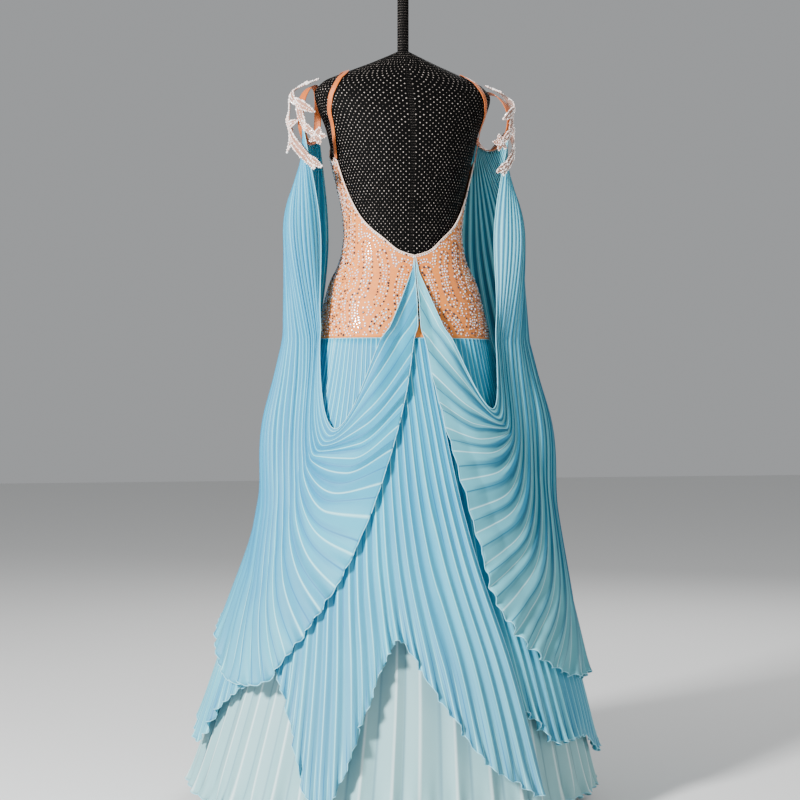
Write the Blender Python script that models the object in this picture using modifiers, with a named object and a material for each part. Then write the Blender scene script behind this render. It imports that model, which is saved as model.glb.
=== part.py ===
"""A backless ballroom dance dress with pleated floats, worn by a limbless dress form.

Metres, +Z up. -Y is the back of the dress, with its low scoop, and +X is the wearer's right.
Round pieces are described by an angle and a height: 0 degrees is the centre back, 90 the
wearer's right side and 180 the centre front.
"""

import math
from bisect import bisect_right
from collections import namedtuple

import bmesh
import bpy
from mathutils import Vector
from mathutils.bvhtree import BVHTree

# Driving sizes.
HIP_SEAM_HEIGHT = 0.900
HEM_HEIGHT = 0.040
CLOTH = 0.0012
SEAM_GAP = 0.0004
SEAM_ANGLE = 0.12
# The least gap between two hard pieces that stand on each other.
STAND_GAP = 0.0003
BODICE_EASE = 0.0039
ROUNDNESS = 2.2

# The form under the dress.
NECK_ROD_RADIUS = 0.011
NECK_ROD_FOOT = 1.460
NECK_ROD_TOP = 1.600
# Its rounded end: how far down the rounding starts, and how much of the radius is left on top.
NECK_ROD_ROUNDING = 0.004
NECK_ROD_END_SHARE = 0.6
POLE_RADIUS = 0.014
BASE_RADIUS = 0.190
BASE_THICKNESS = 0.016
BASE_EDGE = 0.004
STAND_SIDES = 32
FORM_COLUMNS = 32
# Heights of the rings of points the torso is drawn through.
FORM_LEVELS = (
    0.735, 0.741, 0.752, 0.772, 0.800, 0.830, 0.870, 0.904, 0.959, 1.008, 1.054, 1.107, 1.150,
    1.192, 1.225, 1.250, 1.274, 1.298, 1.325, 1.350, 1.368, 1.382, 1.393, 1.402, 1.412, 1.422,
    1.442, 1.458, 1.468,
)

# Pleats, counted across each piece of the overskirt and each float, and once round the underskirt.
BACK_PANEL_PLEATS = 20
FRONT_PANEL_PLEATS = 76
UNDERSKIRT_PLEATS = 44
FLOAT_PLEATS = 26
# Half the depth of the skirts' pleats, at the hip seam and at the hem.
OVERSKIRT_DEPTH_TOP = 0.0016
OVERSKIRT_DEPTH_HEM = 0.0075
UNDERSKIRT_DEPTH_TOP = 0.0008
UNDERSKIRT_DEPTH_HEM = 0.0100
# How far down the overskirt its rows of points lie, as shares of the way to the hem.
OVERSKIRT_ROWS = (0, 0.14, 0.38, 0.68, 1)
FLOAT_ROWS = 10
# Half the depth of a float's pleats, and its distance from the band and the cloth under it.
FLOAT_DEPTH_TOP = 0.0006
FLOAT_DEPTH_HEM = 0.0050
FLOAT_ROOT_GAP = 0.0009
FLOAT_CLEARANCE = 0.0034
# The share of both that the inner edge has, and how fast they grow across the cloth from it.
FLOAT_EDGE_FULLNESS = 0.16
FLOAT_EDGE_RATE = 6

# How far the overskirt's back panel stands out over the edges of its front panel, how far
# those edges dip in under it, and over how many degrees they do.
PANEL_LIFT = 0.0146
PANEL_DIP = 0.0055
PANEL_DIP_ANGLE = 22
PANEL_RISE = 0.25

# How far below the hip seam the underskirt is sewn on, and the angle left at its side seams.
UNDERSKIRT_DROP = 0.014
UNDERSKIRT_SEAM_ANGLE = 0.1

STRAP_WIDTH = 0.010
STRAP_THICKNESS = 0.0014
# How close a strap lies to the shoulder, and over how much of its route it comes down to it.
STRAP_REST = 0.0016
STRAP_LANDING = 1.5
STRAP_STEPS = 22

# Each armband is a loop that stands upright, level with the front of the shoulder.
ARMBAND_WIDTH = 0.014
ARMBAND_THICKNESS = 0.0015
ARMBAND_HALF_HEIGHT = 0.056
ARMBAND_HALF_DEPTH = 0.048
ARMBAND_CENTRE = (0.1855, 0.0137, 1.338)
ARMBAND_BACK = (0.52, -0.854, 0.0)
ARMBAND_LEAN = 0.010
# How far the top of the band tips towards the shoulder, as a slope.
ARMBAND_TILT = 0.4
ARMBAND_STEPS = 22

# The lace lies on an upright oval sleeve round the armband, which bends in over the shoulder.
LACE_THICKNESS = 0.0022
LACE_AXIS = 0.155
LACE_OUT = 0.0702
LACE_DEPTH = 0.0600
LACE_ARC = 0.066
LACE_BEND_HEIGHT = 1.364
LACE_BEND_RADIUS = 0.026
LACE_BEND_ANGLE = 66
LACE_LEVEL_STEP = 0.00002
LACE_RISE_REACH = 0.014

# Half sizes of the figure's round sections.
Section = namedtuple("Section", "height half_width back front")
FIGURE = (
    Section(0.735, 0.118, 0.084, 0.074),
    Section(0.746, 0.145, 0.103, 0.088),
    Section(0.772, 0.162, 0.1155, 0.0965),
    Section(0.830, 0.170, 0.1225, 0.1010),
    Section(0.870, 0.1695, 0.1230, 0.1000),
    Section(0.904, 0.1670, 0.1205, 0.0985),
    Section(0.959, 0.1550, 0.1110, 0.0960),
    Section(1.008, 0.1415, 0.0985, 0.0940),
    Section(1.054, 0.1205, 0.0870, 0.0910),
    Section(1.107, 0.1120, 0.0810, 0.0890),
    Section(1.150, 0.1155, 0.0850, 0.0960),
    Section(1.192, 0.1233, 0.0920, 0.1060),
    Section(1.235, 0.1330, 0.0980, 0.1130),
    Section(1.274, 0.1420, 0.1010, 0.1140),
    Section(1.314, 0.1530, 0.1000, 0.1060),
    Section(1.350, 0.1690, 0.0930, 0.0900),
    Section(1.380, 0.1770, 0.0810, 0.0700),
    Section(1.402, 0.1610, 0.0680, 0.0550),
    Section(1.422, 0.1170, 0.0530, 0.0430),
    Section(1.442, 0.0680, 0.0380, 0.0340),
    Section(1.458, 0.0320, 0.0240, 0.0240),
)

# The middle of the overskirt's cloth, between the crests and troughs of its pleats.
SKIRT = (
    Section(0.900, 0.1718, 0.1256, 0.1034),
    Section(0.820, 0.1885, 0.1440, 0.1222),
    Section(0.700, 0.2210, 0.1840, 0.1640),
    Section(0.550, 0.2640, 0.2350, 0.2180),
    Section(0.400, 0.3100, 0.2870, 0.2720),
    Section(0.250, 0.3540, 0.3400, 0.3220),
    Section(0.040, 0.4130, 0.3940, 0.3710),
)
# How far the hem has swung to the wearer's left.
SKIRT_SWING = 0.024
# The underskirt's rows of points: the share of the way down and how far inside the skirt it lies.
Inset = namedtuple("Inset", "share inset")
UNDERSKIRT_ROWS = (
    Inset(0, 0.0042), Inset(0.1, 0.0105), Inset(0.3, 0.019), Inset(0.65, 0.022), Inset(1, 0.020),
)

# The bust cups of the cut, at each side of the centre front.
CUP_SPACING = 0.076
CUP_HEIGHT = 1.262
CUP_WIDTH = 0.060
CUP_TALL = 0.058
CUP_DEPTH = 0.017
# How far in front of the sides the cups are full.
CUP_FADE = 0.05

Edge = namedtuple("Edge", "angle height")
# Top edge of the back bodice, from the centre back to the side seam.
BACK_NECKLINE = (
    Edge(0, 1.059), Edge(12, 1.068), Edge(28, 1.093), Edge(45, 1.118), Edge(57, 1.142),
    Edge(68, 1.176), Edge(75, 1.212), Edge(80, 1.250), Edge(84, 1.254), Edge(90, 1.246),
)
# Top edge of the front bodice, from the side seam to the centre front.
FRONT_NECKLINE = (
    Edge(90, 1.246), Edge(105, 1.262), Edge(120, 1.285), Edge(133, 1.316), Edge(138, 1.328),
    Edge(144, 1.328), Edge(150, 1.306), Edge(160, 1.266), Edge(170, 1.240), Edge(180, 1.232),
)
# Where each strap runs on the figure, from the back bodice over the shoulder to the front.
STRAP_ROUTE = (
    Edge(79, 1.252), Edge(76, 1.290), Edge(71, 1.330), Edge(62, 1.362), Edge(55, 1.388),
    Edge(58, 1.408), Edge(80, 1.4215), Edge(112, 1.4175), Edge(133, 1.402), Edge(143, 1.376),
    Edge(144, 1.350), Edge(141, 1.329),
)

# Lower edge of the overskirt's back panel, a handkerchief hem with two long points.
BACK_PANEL_HEM = (
    Edge(-56, 0.420), Edge(-50, 0.285), Edge(-44, 0.235), Edge(-38, 0.150), Edge(-33, 0.082),
    Edge(-28, 0.062), Edge(-25, 0.100), Edge(-20, 0.220), Edge(-15, 0.320), Edge(-11, 0.352),
    Edge(-7, 0.318), Edge(-2, 0.262), Edge(4, 0.190), Edge(10, 0.132), Edge(18, 0.095),
    Edge(24, 0.070), Edge(30, 0.096),
)
# Lower edge of its front panel, from the right slit round the front to the left one.
FRONT_PANEL_HEM = (
    Edge(14, 0.250), Edge(26, 0.205), Edge(36, 0.150), Edge(52, 0.150), Edge(70, 0.105),
    Edge(88, 0.145), Edge(108, 0.270), Edge(126, 0.190), Edge(146, 0.080), Edge(164, 0.190),
    Edge(182, 0.300), Edge(200, 0.190), Edge(218, 0.080), Edge(236, 0.190), Edge(250, 0.225),
    Edge(262, 0.150), Edge(271, 0.132), Edge(281, 0.205), Edge(300, 0.275), Edge(314, 0.320),
)
# Side edges of the two panels, as an angle at each height. They cross below the hips, where
# the back panel hangs over the front one.
Slit = namedtuple("Slit", "height back_right front_right back_left front_left")
SLITS = (
    Slit(0.900, 5.0, 6.2, -60.0, -61.2),
    Slit(0.760, 7.5, 7.0, -58.0, -59.0),
    Slit(0.640, 9.5, 6.0, -57.0, -56.0),
    Slit(0.500, 13.5, 6.0, -56.0, -51.0),
    Slit(0.300, 21.0, 10.0, -53.0, -47.0),
    Slit(0.040, 27.0, 14.0, -50.0, -45.0),
)

# Pleat lines of a float. Each runs from the armband through the column and four more points
# to the hem. share is how far across the cloth it lies, from its inner to its front edge. Each
# point has an angle, a height and how far it stands off the smooth side of the hips and skirt.
Guide = namedtuple("Guide", "share a1 h1 d1 a2 h2 d2 a3 h3 d3 a4 h4 d4")
LEFT_FLOAT = (
    Guide(0.00, 67, 0.905, 0.024, 44, 0.728, 0.022, 23, 0.893, 0.020, 0.9, 1.054, -0.034),
    Guide(0.05, 67.4, 0.893, 0.024, 46, 0.716, 0.022, 25, 0.825, 0.021, 1.4, 0.955, -0.010),
    Guide(0.12, 68, 0.875, 0.024, 49, 0.700, 0.022, 28, 0.745, 0.022, 5.7, 0.845, 0.014),
    Guide(0.26, 70, 0.840, 0.028, 55, 0.665, 0.022, 36, 0.638, 0.022, 16, 0.676, 0.016),
    Guide(0.39, 74, 0.805, 0.036, 61, 0.620, 0.022, 46, 0.515, 0.020, 31, 0.462, 0.016),
    Guide(0.50, 79, 0.785, 0.056, 69, 0.580, 0.024, 57, 0.440, 0.018, 44, 0.338, 0.016),
    Guide(0.60, 83, 0.775, 0.068, 76, 0.560, 0.026, 66, 0.400, 0.018, 54, 0.268, 0.016),
    Guide(0.70, 88, 0.770, 0.070, 84, 0.560, 0.026, 78, 0.405, 0.012, 71, 0.262, 0.014),
    Guide(0.78, 93, 0.775, 0.070, 92, 0.575, 0.026, 89, 0.430, 0.012, 84, 0.285, 0.016),
    Guide(0.86, 100, 0.785, 0.058, 100, 0.600, 0.028, 99, 0.470, 0.016, 97, 0.332, 0.024),
    Guide(1.00, 119, 0.810, 0.020, 121, 0.640, 0.026, 123, 0.500, 0.026, 125, 0.372, 0.026),
)
RIGHT_FLOAT = (
    Guide(0.00, 57, 0.905, 0.024, 37, 0.765, 0.022, 18, 0.893, 0.020, 0.9, 1.054, -0.034),
    Guide(0.045, 58.3, 0.896, 0.025, 39.3, 0.752, 0.022, 19.6, 0.840, 0.021, 1.4, 0.945, -0.008),
    Guide(0.10, 60, 0.885, 0.026, 42, 0.738, 0.022, 22, 0.770, 0.022, 4.2, 0.835, 0.014),
    Guide(0.22, 64, 0.858, 0.032, 47, 0.706, 0.024, 28, 0.672, 0.022, 9.6, 0.672, 0.016),
    Guide(0.32, 69, 0.830, 0.046, 53, 0.665, 0.028, 34, 0.575, 0.022, 13.8, 0.542, 0.016),
    Guide(0.42, 74, 0.808, 0.062, 60, 0.625, 0.034, 41, 0.495, 0.022, 17, 0.420, 0.016),
    Guide(0.51, 78, 0.790, 0.076, 66, 0.595, 0.040, 50, 0.440, 0.024, 27, 0.331, 0.016),
    Guide(0.60, 83, 0.780, 0.088, 73, 0.570, 0.044, 60, 0.405, 0.026, 40, 0.281, 0.016),
    Guide(0.69, 88, 0.770, 0.092, 81, 0.560, 0.048, 71, 0.395, 0.026, 58, 0.256, 0.018),
    Guide(0.80, 96, 0.780, 0.084, 93, 0.580, 0.048, 88, 0.425, 0.028, 80, 0.262, 0.020),
    Guide(1.00, 119, 0.810, 0.020, 120, 0.640, 0.026, 121, 0.500, 0.026, 122, 0.362, 0.026),
)
# The float hangs below the armband as a column, open towards the body.
FLOAT_COLUMN_HEIGHT = 1.100
Column = namedtuple("Column", "share x y")
FLOAT_COLUMN = (
    Column(0.00, 0.176, -0.038), Column(0.12, 0.201, -0.052), Column(0.25, 0.226, -0.052),
    Column(0.40, 0.240, -0.036), Column(0.55, 0.240, -0.006), Column(0.70, 0.226, 0.024),
    Column(0.85, 0.186, 0.050), Column(1.00, 0.136, 0.066),
)
# Where the pleat lines leave the armband, as angles from its top towards the back.
FLOAT_ROOT_BACK = 104
FLOAT_ROOT_FRONT = 262

# The lace, laid out flat: round is millimetres from the outermost line of the shoulder
# towards the back, up is the height in metres as if the lace did not bend in.
Stem = namedtuple("Stem", "round up width")
LACE_STEM = (
    Stem(12, 1.440, 11), Stem(8, 1.424, 17), Stem(0, 1.404, 21), Stem(-9, 1.382, 21),
    Stem(-14, 1.358, 16), Stem(-14, 1.334, 14), Stem(-6, 1.311, 18), Stem(12, 1.290, 22),
    Stem(34, 1.269, 21), Stem(56, 1.247, 16), Stem(72, 1.226, 7),
)
# Pointed leaves from one point to another. rise is how far the tip stands away from the body.
Leaf = namedtuple("Leaf", "round up to_round to_up width rise")
LACE_LEAVES = (
    Leaf(6, 1.420, 32, 1.406, 16, 0),
    Leaf(0, 1.400, -16, 1.416, 16, 5),
    Leaf(-12, 1.354, -26, 1.326, 15, 7),
    Leaf(-8, 1.382, 34, 1.352, 20, 0),
    Leaf(22, 1.362, 72, 1.334, 19, 2),
    Leaf(-8, 1.314, 36, 1.320, 15, 0),
    Leaf(32, 1.356, 54, 1.300, 16, 0),
    Leaf(46, 1.314, 74, 1.288, 15, 1),
    Leaf(56, 1.250, 86, 1.228, 15, 1),
    Leaf(12, 1.292, -8, 1.262, 15, 4),
    Leaf(-12, 1.330, -50, 1.300, 17, 3),
    Leaf(-40, 1.308, -78, 1.254, 17, 4),
    Leaf(-66, 1.274, -112, 1.222, 15, 4),
)
Flower = namedtuple("Flower", "round up radius")
LACE_FLOWERS = (Flower(76, 1.288, 17),)
PETALS = 5
# A petal starts just across the middle of its flower. Its width is a share of the flower's radius.
PETAL_START = 0.15
PETAL_WIDTH = 0.75
# How wide a leaf is along its length, as shares, and how thick its edge is.
Fullness = namedtuple("Fullness", "share width")
LEAF_SHAPE = (Fullness(0.0, 0.45), Fullness(0.35, 1.0), Fullness(0.7, 0.7))
LEAF_EDGE_SHARE = 0.45
# Where the underside and the top of the stem lie in the lace's thickness.
STEM_LOW_SHARE = 0.2
STEM_HIGH_SHARE = 0.8
MM = 0.001
# The steps that a surface's slope is measured over, in degrees and metres.
SLOPE_ANGLE = 1
SLOPE_HEIGHT = 0.003
# How many rounds it takes until a hem point, and a point's place off the hips, have settled.
HEM_ROUNDS = 6
CHART_ROUNDS = 20

Finish = namedtuple("Finish", "colour roughness metallic")
FINISHES = {
    "blue_chiffon": Finish((0.33, 0.72, 0.85), 0.65, 0.0),
    "pale_chiffon": Finish((0.55, 0.72, 0.76), 0.65, 0.0),
    "nude_mesh": Finish((0.92, 0.60, 0.40), 0.55, 0.0),
    "nude_elastic": Finish((0.93, 0.47, 0.18), 0.60, 0.0),
    "lace": Finish((0.86, 0.78, 0.76), 0.45, 0.0),
    "form_cover": Finish((0.03, 0.03, 0.03), 0.45, 0.0),
    "stand_metal": Finish((0.06, 0.06, 0.06), 0.35, 0.6),
}


def curve_value(places, values, place):
    """A smooth value between named ones that never swings past them."""
    if place <= places[0]:
        return values[0]
    if place >= places[-1]:
        return values[-1]
    slopes = []
    for i in range(len(places)):
        if i in (0, len(places) - 1):
            j = min(i, len(places) - 2)
            slopes.append((values[j + 1] - values[j]) / (places[j + 1] - places[j]))
            continue
        before = (values[i] - values[i - 1]) / (places[i] - places[i - 1])
        after = (values[i + 1] - values[i]) / (places[i + 1] - places[i])
        same_way = before * after > 0
        slopes.append(2 * before * after / (before + after) if same_way else 0.0)
    i = bisect_right(places, place) - 1
    span = places[i + 1] - places[i]
    t = (place - places[i]) / span
    return (
        values[i] * (1 + 2 * t) * (1 - t) ** 2
        + slopes[i] * span * t * (1 - t) ** 2
        + values[i + 1] * t * t * (3 - 2 * t)
        + slopes[i + 1] * span * t * t * (t - 1)
    )


def table_value(rows, by, column, place):
    """The smooth value of one column of a table at a place of another column."""
    rows = sorted(rows, key=lambda row: getattr(row, by))
    places = [getattr(row, by) for row in rows]
    return curve_value(places, [getattr(row, column) for row in rows], place)


def round_point(angle, half_width, back, front):
    """A point of a rounded section, in the plane, at an angle in degrees from the centre back."""
    s, c = math.sin(math.radians(angle)), math.cos(math.radians(angle))
    depth = back if c > 0 else front
    power = 2 / ROUNDNESS
    return (
        half_width * math.copysign(abs(s) ** power, s),
        -depth * math.copysign(abs(c) ** power, c),
    )


def cup_depth(x, height):
    """How far the bust cups stand out in front at a place across and up."""
    across = (abs(x) - CUP_SPACING) / CUP_WIDTH
    up = (height - CUP_HEIGHT) / CUP_TALL
    return CUP_DEPTH * math.exp(-across * across - up * up)


def figure_point(angle, height):
    """A point of the form's surface."""
    sizes = [table_value(FIGURE, "height", column, height) for column in Section._fields[1:]]
    x, y = round_point(angle, *sizes)
    if y > 0:
        y += cup_depth(x, height) * min(1.0, y / CUP_FADE)
    return Vector((x, y, height))


def skirt_point(angle, height):
    """A point of the skirt's middle surface, which goes straight up above the hip seam."""
    level = min(height, HIP_SEAM_HEIGHT)
    sizes = [table_value(SKIRT, "height", column, level) for column in Section._fields[1:]]
    x, y = round_point(angle, *sizes)
    fallen = (HIP_SEAM_HEIGHT - level) / (HIP_SEAM_HEIGHT - HEM_HEIGHT)
    return Vector((x - SKIRT_SWING * fallen * fallen, y, height))


def outward(surface, angle, height):
    """The unit normal of a surface given by angle and height."""
    around = surface(angle + SLOPE_ANGLE, height) - surface(angle - SLOPE_ANGLE, height)
    up = surface(angle, height + SLOPE_HEIGHT) - surface(angle, height - SLOPE_HEIGHT)
    return around.cross(up).normalized()


def off_figure(angle, height, distance):
    return figure_point(angle, height) + outward(figure_point, angle, height) * distance


def off_skirt(angle, height, distance):
    normal = outward(skirt_point, angle, min(height, HIP_SEAM_HEIGHT - SLOPE_HEIGHT))
    level = Vector((normal.x, normal.y, 0)).normalized()
    return skirt_point(angle, height) + level * distance


def crest(count):
    """+1 on a pleat's crest and -1 in its trough, by column."""
    return 1 if count % 2 else -1


def pleat_depth(height, at_hip, at_hem):
    """Half the depth of a pleat, which grows from the hip seam to the hem."""
    return at_hip + (at_hem - at_hip) * (HIP_SEAM_HEIGHT - height) / (HIP_SEAM_HEIGHT - HEM_HEIGHT)


def make_material(name):
    finish = FINISHES[name]
    material = bpy.data.materials.new(name)
    material.use_nodes = True
    shader = material.node_tree.nodes["Principled BSDF"]
    shader.inputs["Base Color"].default_value = (*finish.colour, 1.0)
    shader.inputs["Roughness"].default_value = finish.roughness
    shader.inputs["Metallic"].default_value = finish.metallic
    return material


def new_object(name, mesh, finish, collection):
    obj = bpy.data.objects.new(name, mesh)
    collection.objects.link(obj)
    if finish:
        mesh.materials.append(bpy.data.materials.get(finish) or make_material(finish))
    return obj


def grid_mesh(name, rows, closed=False):
    """A mesh through rows of points. Its faces point to the left of a row, seen along the rows."""
    bm = bmesh.new()
    made = [[bm.verts.new(point) for point in row] for row in rows]
    for low, high in zip(made, made[1:]):
        count = len(low)
        for i in range(count if closed else count - 1):
            j = (i + 1) % count
            bm.faces.new((low[i], low[j], high[j], high[i]))
    mesh = bpy.data.meshes.new(name)
    bm.to_mesh(mesh)
    bm.free()
    return mesh


def cloth(name, rows, finish, collection, thickness=CLOTH, closed=False, side=1):
    """A piece of cloth: an open surface with a wall on one side of it."""
    obj = new_object(name, grid_mesh(name, rows, closed), finish, collection)
    wall = obj.modifiers.new("wall", "SOLIDIFY")
    wall.thickness = thickness
    wall.offset = side
    return obj


def steps(first, last, count):
    return [first + (last - first) * i / count for i in range(count + 1)]


def build_bodice(collection):
    """The back and front of the beaded mesh top, which join at the side seams."""
    for name, neckline, middle, level_rows, rising_rows in (
        ("bodice_back", BACK_NECKLINE, 0, 4, 7),
        ("bodice_front", FRONT_NECKLINE, 180, 8, 5),
    ):
        levels = [height for height in FORM_LEVELS if height > HIP_SEAM_HEIGHT][:level_rows]
        levels[0] = HIP_SEAM_HEIGHT + SEAM_GAP
        rows = [[] for _ in range(level_rows + rising_rows)]
        for angle in steps(middle - 90 + SEAM_ANGLE, middle + 90 - SEAM_ANGLE, FORM_COLUMNS // 2):
            place = 180 - abs(180 - angle) if middle else abs(angle)
            top = table_value(neckline, "angle", "height", place)
            rising = steps(levels[-1], top, rising_rows)[1:]
            for row, height in zip(rows, levels + rising):
                row.append(off_figure(angle, height, BODICE_EASE))
        cloth(name, rows, "nude_mesh", collection)


def off_mesh(tree, point, distance):
    """The place at a distance straight out from the spot of a mesh that is nearest to a point."""
    spot, normal, _, _ = tree.find_nearest(point)
    return spot + normal * distance


def build_straps(collection, form):
    """Two narrow straps that lie on the shoulders, from bodice to bodice."""
    places = list(range(len(STRAP_ROUTE)))
    tree = BVHTree.FromObject(form, bpy.context.evaluated_depsgraph_get())
    above_bodice = BODICE_EASE + CLOTH + SEAM_GAP
    for side, name in ((-1, "strap_left"), (1, "strap_right")):
        line = []
        for t in steps(0, places[-1], STRAP_STEPS):
            angle = side * curve_value(places, [p.angle for p in STRAP_ROUTE], t)
            height = curve_value(places, [p.height for p in STRAP_ROUTE], t)
            from_end = min(t, places[-1] - t) / STRAP_LANDING
            lift = STRAP_REST + (above_bodice - STRAP_REST) * max(0.0, 1 - from_end)
            line.append((off_figure(angle, height, lift), outward(figure_point, angle, height), lift))
        rows = []
        for i, (point, normal, lift) in enumerate(line):
            along = line[min(i + 1, len(line) - 1)][0] - line[max(i - 1, 0)][0]
            across = along.cross(normal).normalized() * STRAP_WIDTH / 2
            row = [point - across, point, point + across]
            rows.append([off_mesh(tree, place, lift) for place in row])
        cloth(name, rows, "nude_elastic", collection, STRAP_THICKNESS)


def panel_share(height):
    """How far the back panel has come away from the front one, from the hip seam down."""
    return min(1.0, (HIP_SEAM_HEIGHT - height) / PANEL_RISE)


def skirt_pleat(height):
    """Half the depth of the overskirt's pleats at a height."""
    return pleat_depth(height, OVERSKIRT_DEPTH_TOP, OVERSKIRT_DEPTH_HEM)


def slit_angle(column, height):
    """Where the side edge of a panel lies at a height."""
    return table_value(SLITS, "height", column, height)


def build_overskirt(collection):
    """The pleated top skirt, a back panel over a front panel, each with a pointed hem."""
    # The turn takes the front panel's last edge on past the centre front. The fade keeps the
    # slant of an edge near it, so that the pleats in between hang straight.
    Panel = namedtuple("Panel", "name first last hem turn pleats fade")
    panels = (
        Panel("overskirt_back", "back_left", "back_right", BACK_PANEL_HEM, 0, BACK_PANEL_PLEATS, 1),
        Panel("overskirt_front", "front_right", "front_left", FRONT_PANEL_HEM, 360,
              FRONT_PANEL_PLEATS, 3),
    )
    for name, first, last, hem, turn, pleats, fade in panels:
        top_start = slit_angle(first, HIP_SEAM_HEIGHT)
        top_end = slit_angle(last, HIP_SEAM_HEIGHT) + turn
        rows = []
        for share in OVERSKIRT_ROWS:
            row = []
            for i in range(2 * pleats + 1):
                across = i / (2 * pleats)
                height = HIP_SEAM_HEIGHT
                # The angle depends on the height and the height on the angle, so both settle.
                for _ in range(HEM_ROUNDS):
                    start = slit_angle(first, height)
                    end = slit_angle(last, height) + turn
                    angle = top_start + (top_end - top_start) * across
                    angle += (start - top_start) * (1 - across) ** fade
                    angle += (end - top_end) * across ** fade
                    bottom = table_value(hem, "angle", "height", angle)
                    height = HIP_SEAM_HEIGHT - share * (HIP_SEAM_HEIGHT - bottom)
                if name == "overskirt_back":
                    raised = PANEL_LIFT * panel_share(height)
                else:
                    edge = min(angle - start, end - angle) / PANEL_DIP_ANGLE
                    raised = -PANEL_DIP * panel_share(height) * max(0.0, 1 - edge)
                fold = crest(i) * skirt_pleat(height)
                row.append(off_skirt(angle, height, raised + fold))
            rows.append(row)
        cloth(name, rows[::-1], "blue_chiffon", collection)


def build_underskirt(collection):
    """The pale floor-length skirt under it, in two halves."""
    top = HIP_SEAM_HEIGHT - UNDERSKIRT_DROP
    # Each half has half of the pleats, and each pleat a crest and a trough.
    columns = UNDERSKIRT_PLEATS
    reach = 90 - UNDERSKIRT_SEAM_ANGLE
    for name, middle in (("underskirt_back", 0), ("underskirt_front", 180)):
        rows = []
        for share, inset in UNDERSKIRT_ROWS:
            height = top - share * (top - HEM_HEIGHT)
            depth = pleat_depth(height, UNDERSKIRT_DEPTH_TOP, UNDERSKIRT_DEPTH_HEM)
            row = []
            for i, angle in enumerate(steps(middle - reach, middle + reach, columns)):
                row.append(off_skirt(angle, height, crest(i) * depth - inset))
            rows.append(row)
        cloth(name, rows[::-1], "pale_chiffon", collection)


def armband_frame(side, angle):
    """A point of the armband's middle line, the way across it and the way out of it."""
    turn = math.radians(angle)
    back = Vector(ARMBAND_BACK).normalized()
    at_top = max(0.0, math.cos(turn)) ** 2
    point = Vector(ARMBAND_CENTRE) + back * ARMBAND_HALF_DEPTH * math.sin(turn)
    point.z += ARMBAND_HALF_HEIGHT * math.cos(turn)
    point.x -= ARMBAND_LEAN * at_top
    across = Vector((-back.y, back.x, -ARMBAND_TILT * at_top)).normalized()
    out = back * math.sin(turn) / ARMBAND_HALF_DEPTH
    out += Vector((0, 0, 1)) * math.cos(turn) / ARMBAND_HALF_HEIGHT
    out = (out - across * out.dot(across)).normalized()
    if side < 0:
        point.x, across.x, out.x = -point.x, -across.x, -out.x
    return point, across, out


def on_armband(side, angle, across, out):
    """A point of the armband, given across its width and out of its loop."""
    point, sideways, outwards = armband_frame(side, angle)
    return point + sideways * across + outwards * out


def build_armbands(collection):
    """The nude elastic loops that carry the floats."""
    for side, name in ((-1, "armband_left"), (1, "armband_right")):
        rows = []
        for across in (-ARMBAND_WIDTH / 2, ARMBAND_WIDTH / 2):
            angles = [360 * i / ARMBAND_STEPS for i in range(ARMBAND_STEPS)]
            rows.append([on_armband(side, angle, across, 0) for angle in angles])
        cloth(name, rows if side > 0 else rows[::-1], "nude_elastic", collection,
              ARMBAND_THICKNESS, closed=True)


def closed_mesh(name, rings, tip=None):
    """A solid through rings of four points, capped at the start and closed to a tip."""
    bm = bmesh.new()
    made = [[bm.verts.new(point) for point in ring] for ring in rings]
    for near, far in zip(made, made[1:]):
        for i in range(4):
            j = (i + 1) % 4
            bm.faces.new((near[i], near[j], far[j], far[i]))
    bm.faces.new(made[0][::-1])
    if tip:
        end = bm.verts.new(tip)
        for i in range(4):
            bm.faces.new((made[-1][i], made[-1][(i + 1) % 4], end))
    else:
        bm.faces.new(made[-1])
    bmesh.ops.recalc_face_normals(bm, faces=bm.faces)
    mesh = bpy.data.meshes.new(name)
    bm.to_mesh(mesh)
    bm.free()
    return mesh


def leaf_mesh(start, end, width, lift):
    """A pointed leaf with a raised midrib and a flat underside, laid out flat."""
    along = end - start
    sideways = Vector((-along.y, along.x)).normalized() * width / 2
    edge, high = LACE_THICKNESS * LEAF_EDGE_SHARE + lift, LACE_THICKNESS + lift
    rings = []
    for place in LEAF_SHAPE:
        middle = start + along * place.share
        left, right = middle + sideways * place.width, middle - sideways * place.width
        rings.append([(*left, edge), (*middle, high), (*right, edge), (*middle, lift)])
    return closed_mesh("leaf", rings, (*end, LACE_THICKNESS / 2 + lift))


def stem_mesh(name):
    """The curved stem that joins the leaves, laid out flat."""
    low, high = LACE_THICKNESS * STEM_LOW_SHARE, LACE_THICKNESS * STEM_HIGH_SHARE
    points = [Vector((stem.round * MM, stem.up)) for stem in LACE_STEM]
    rings = []
    for i, stem in enumerate(LACE_STEM):
        along = points[min(i + 1, len(points) - 1)] - points[max(i - 1, 0)]
        sideways = Vector((-along.y, along.x)).normalized() * stem.width * MM / 2
        left, right = points[i] + sideways, points[i] - sideways
        rings.append([(*left, low), (*right, low), (*right, high), (*left, high)])
    return closed_mesh(name, rings)


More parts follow.
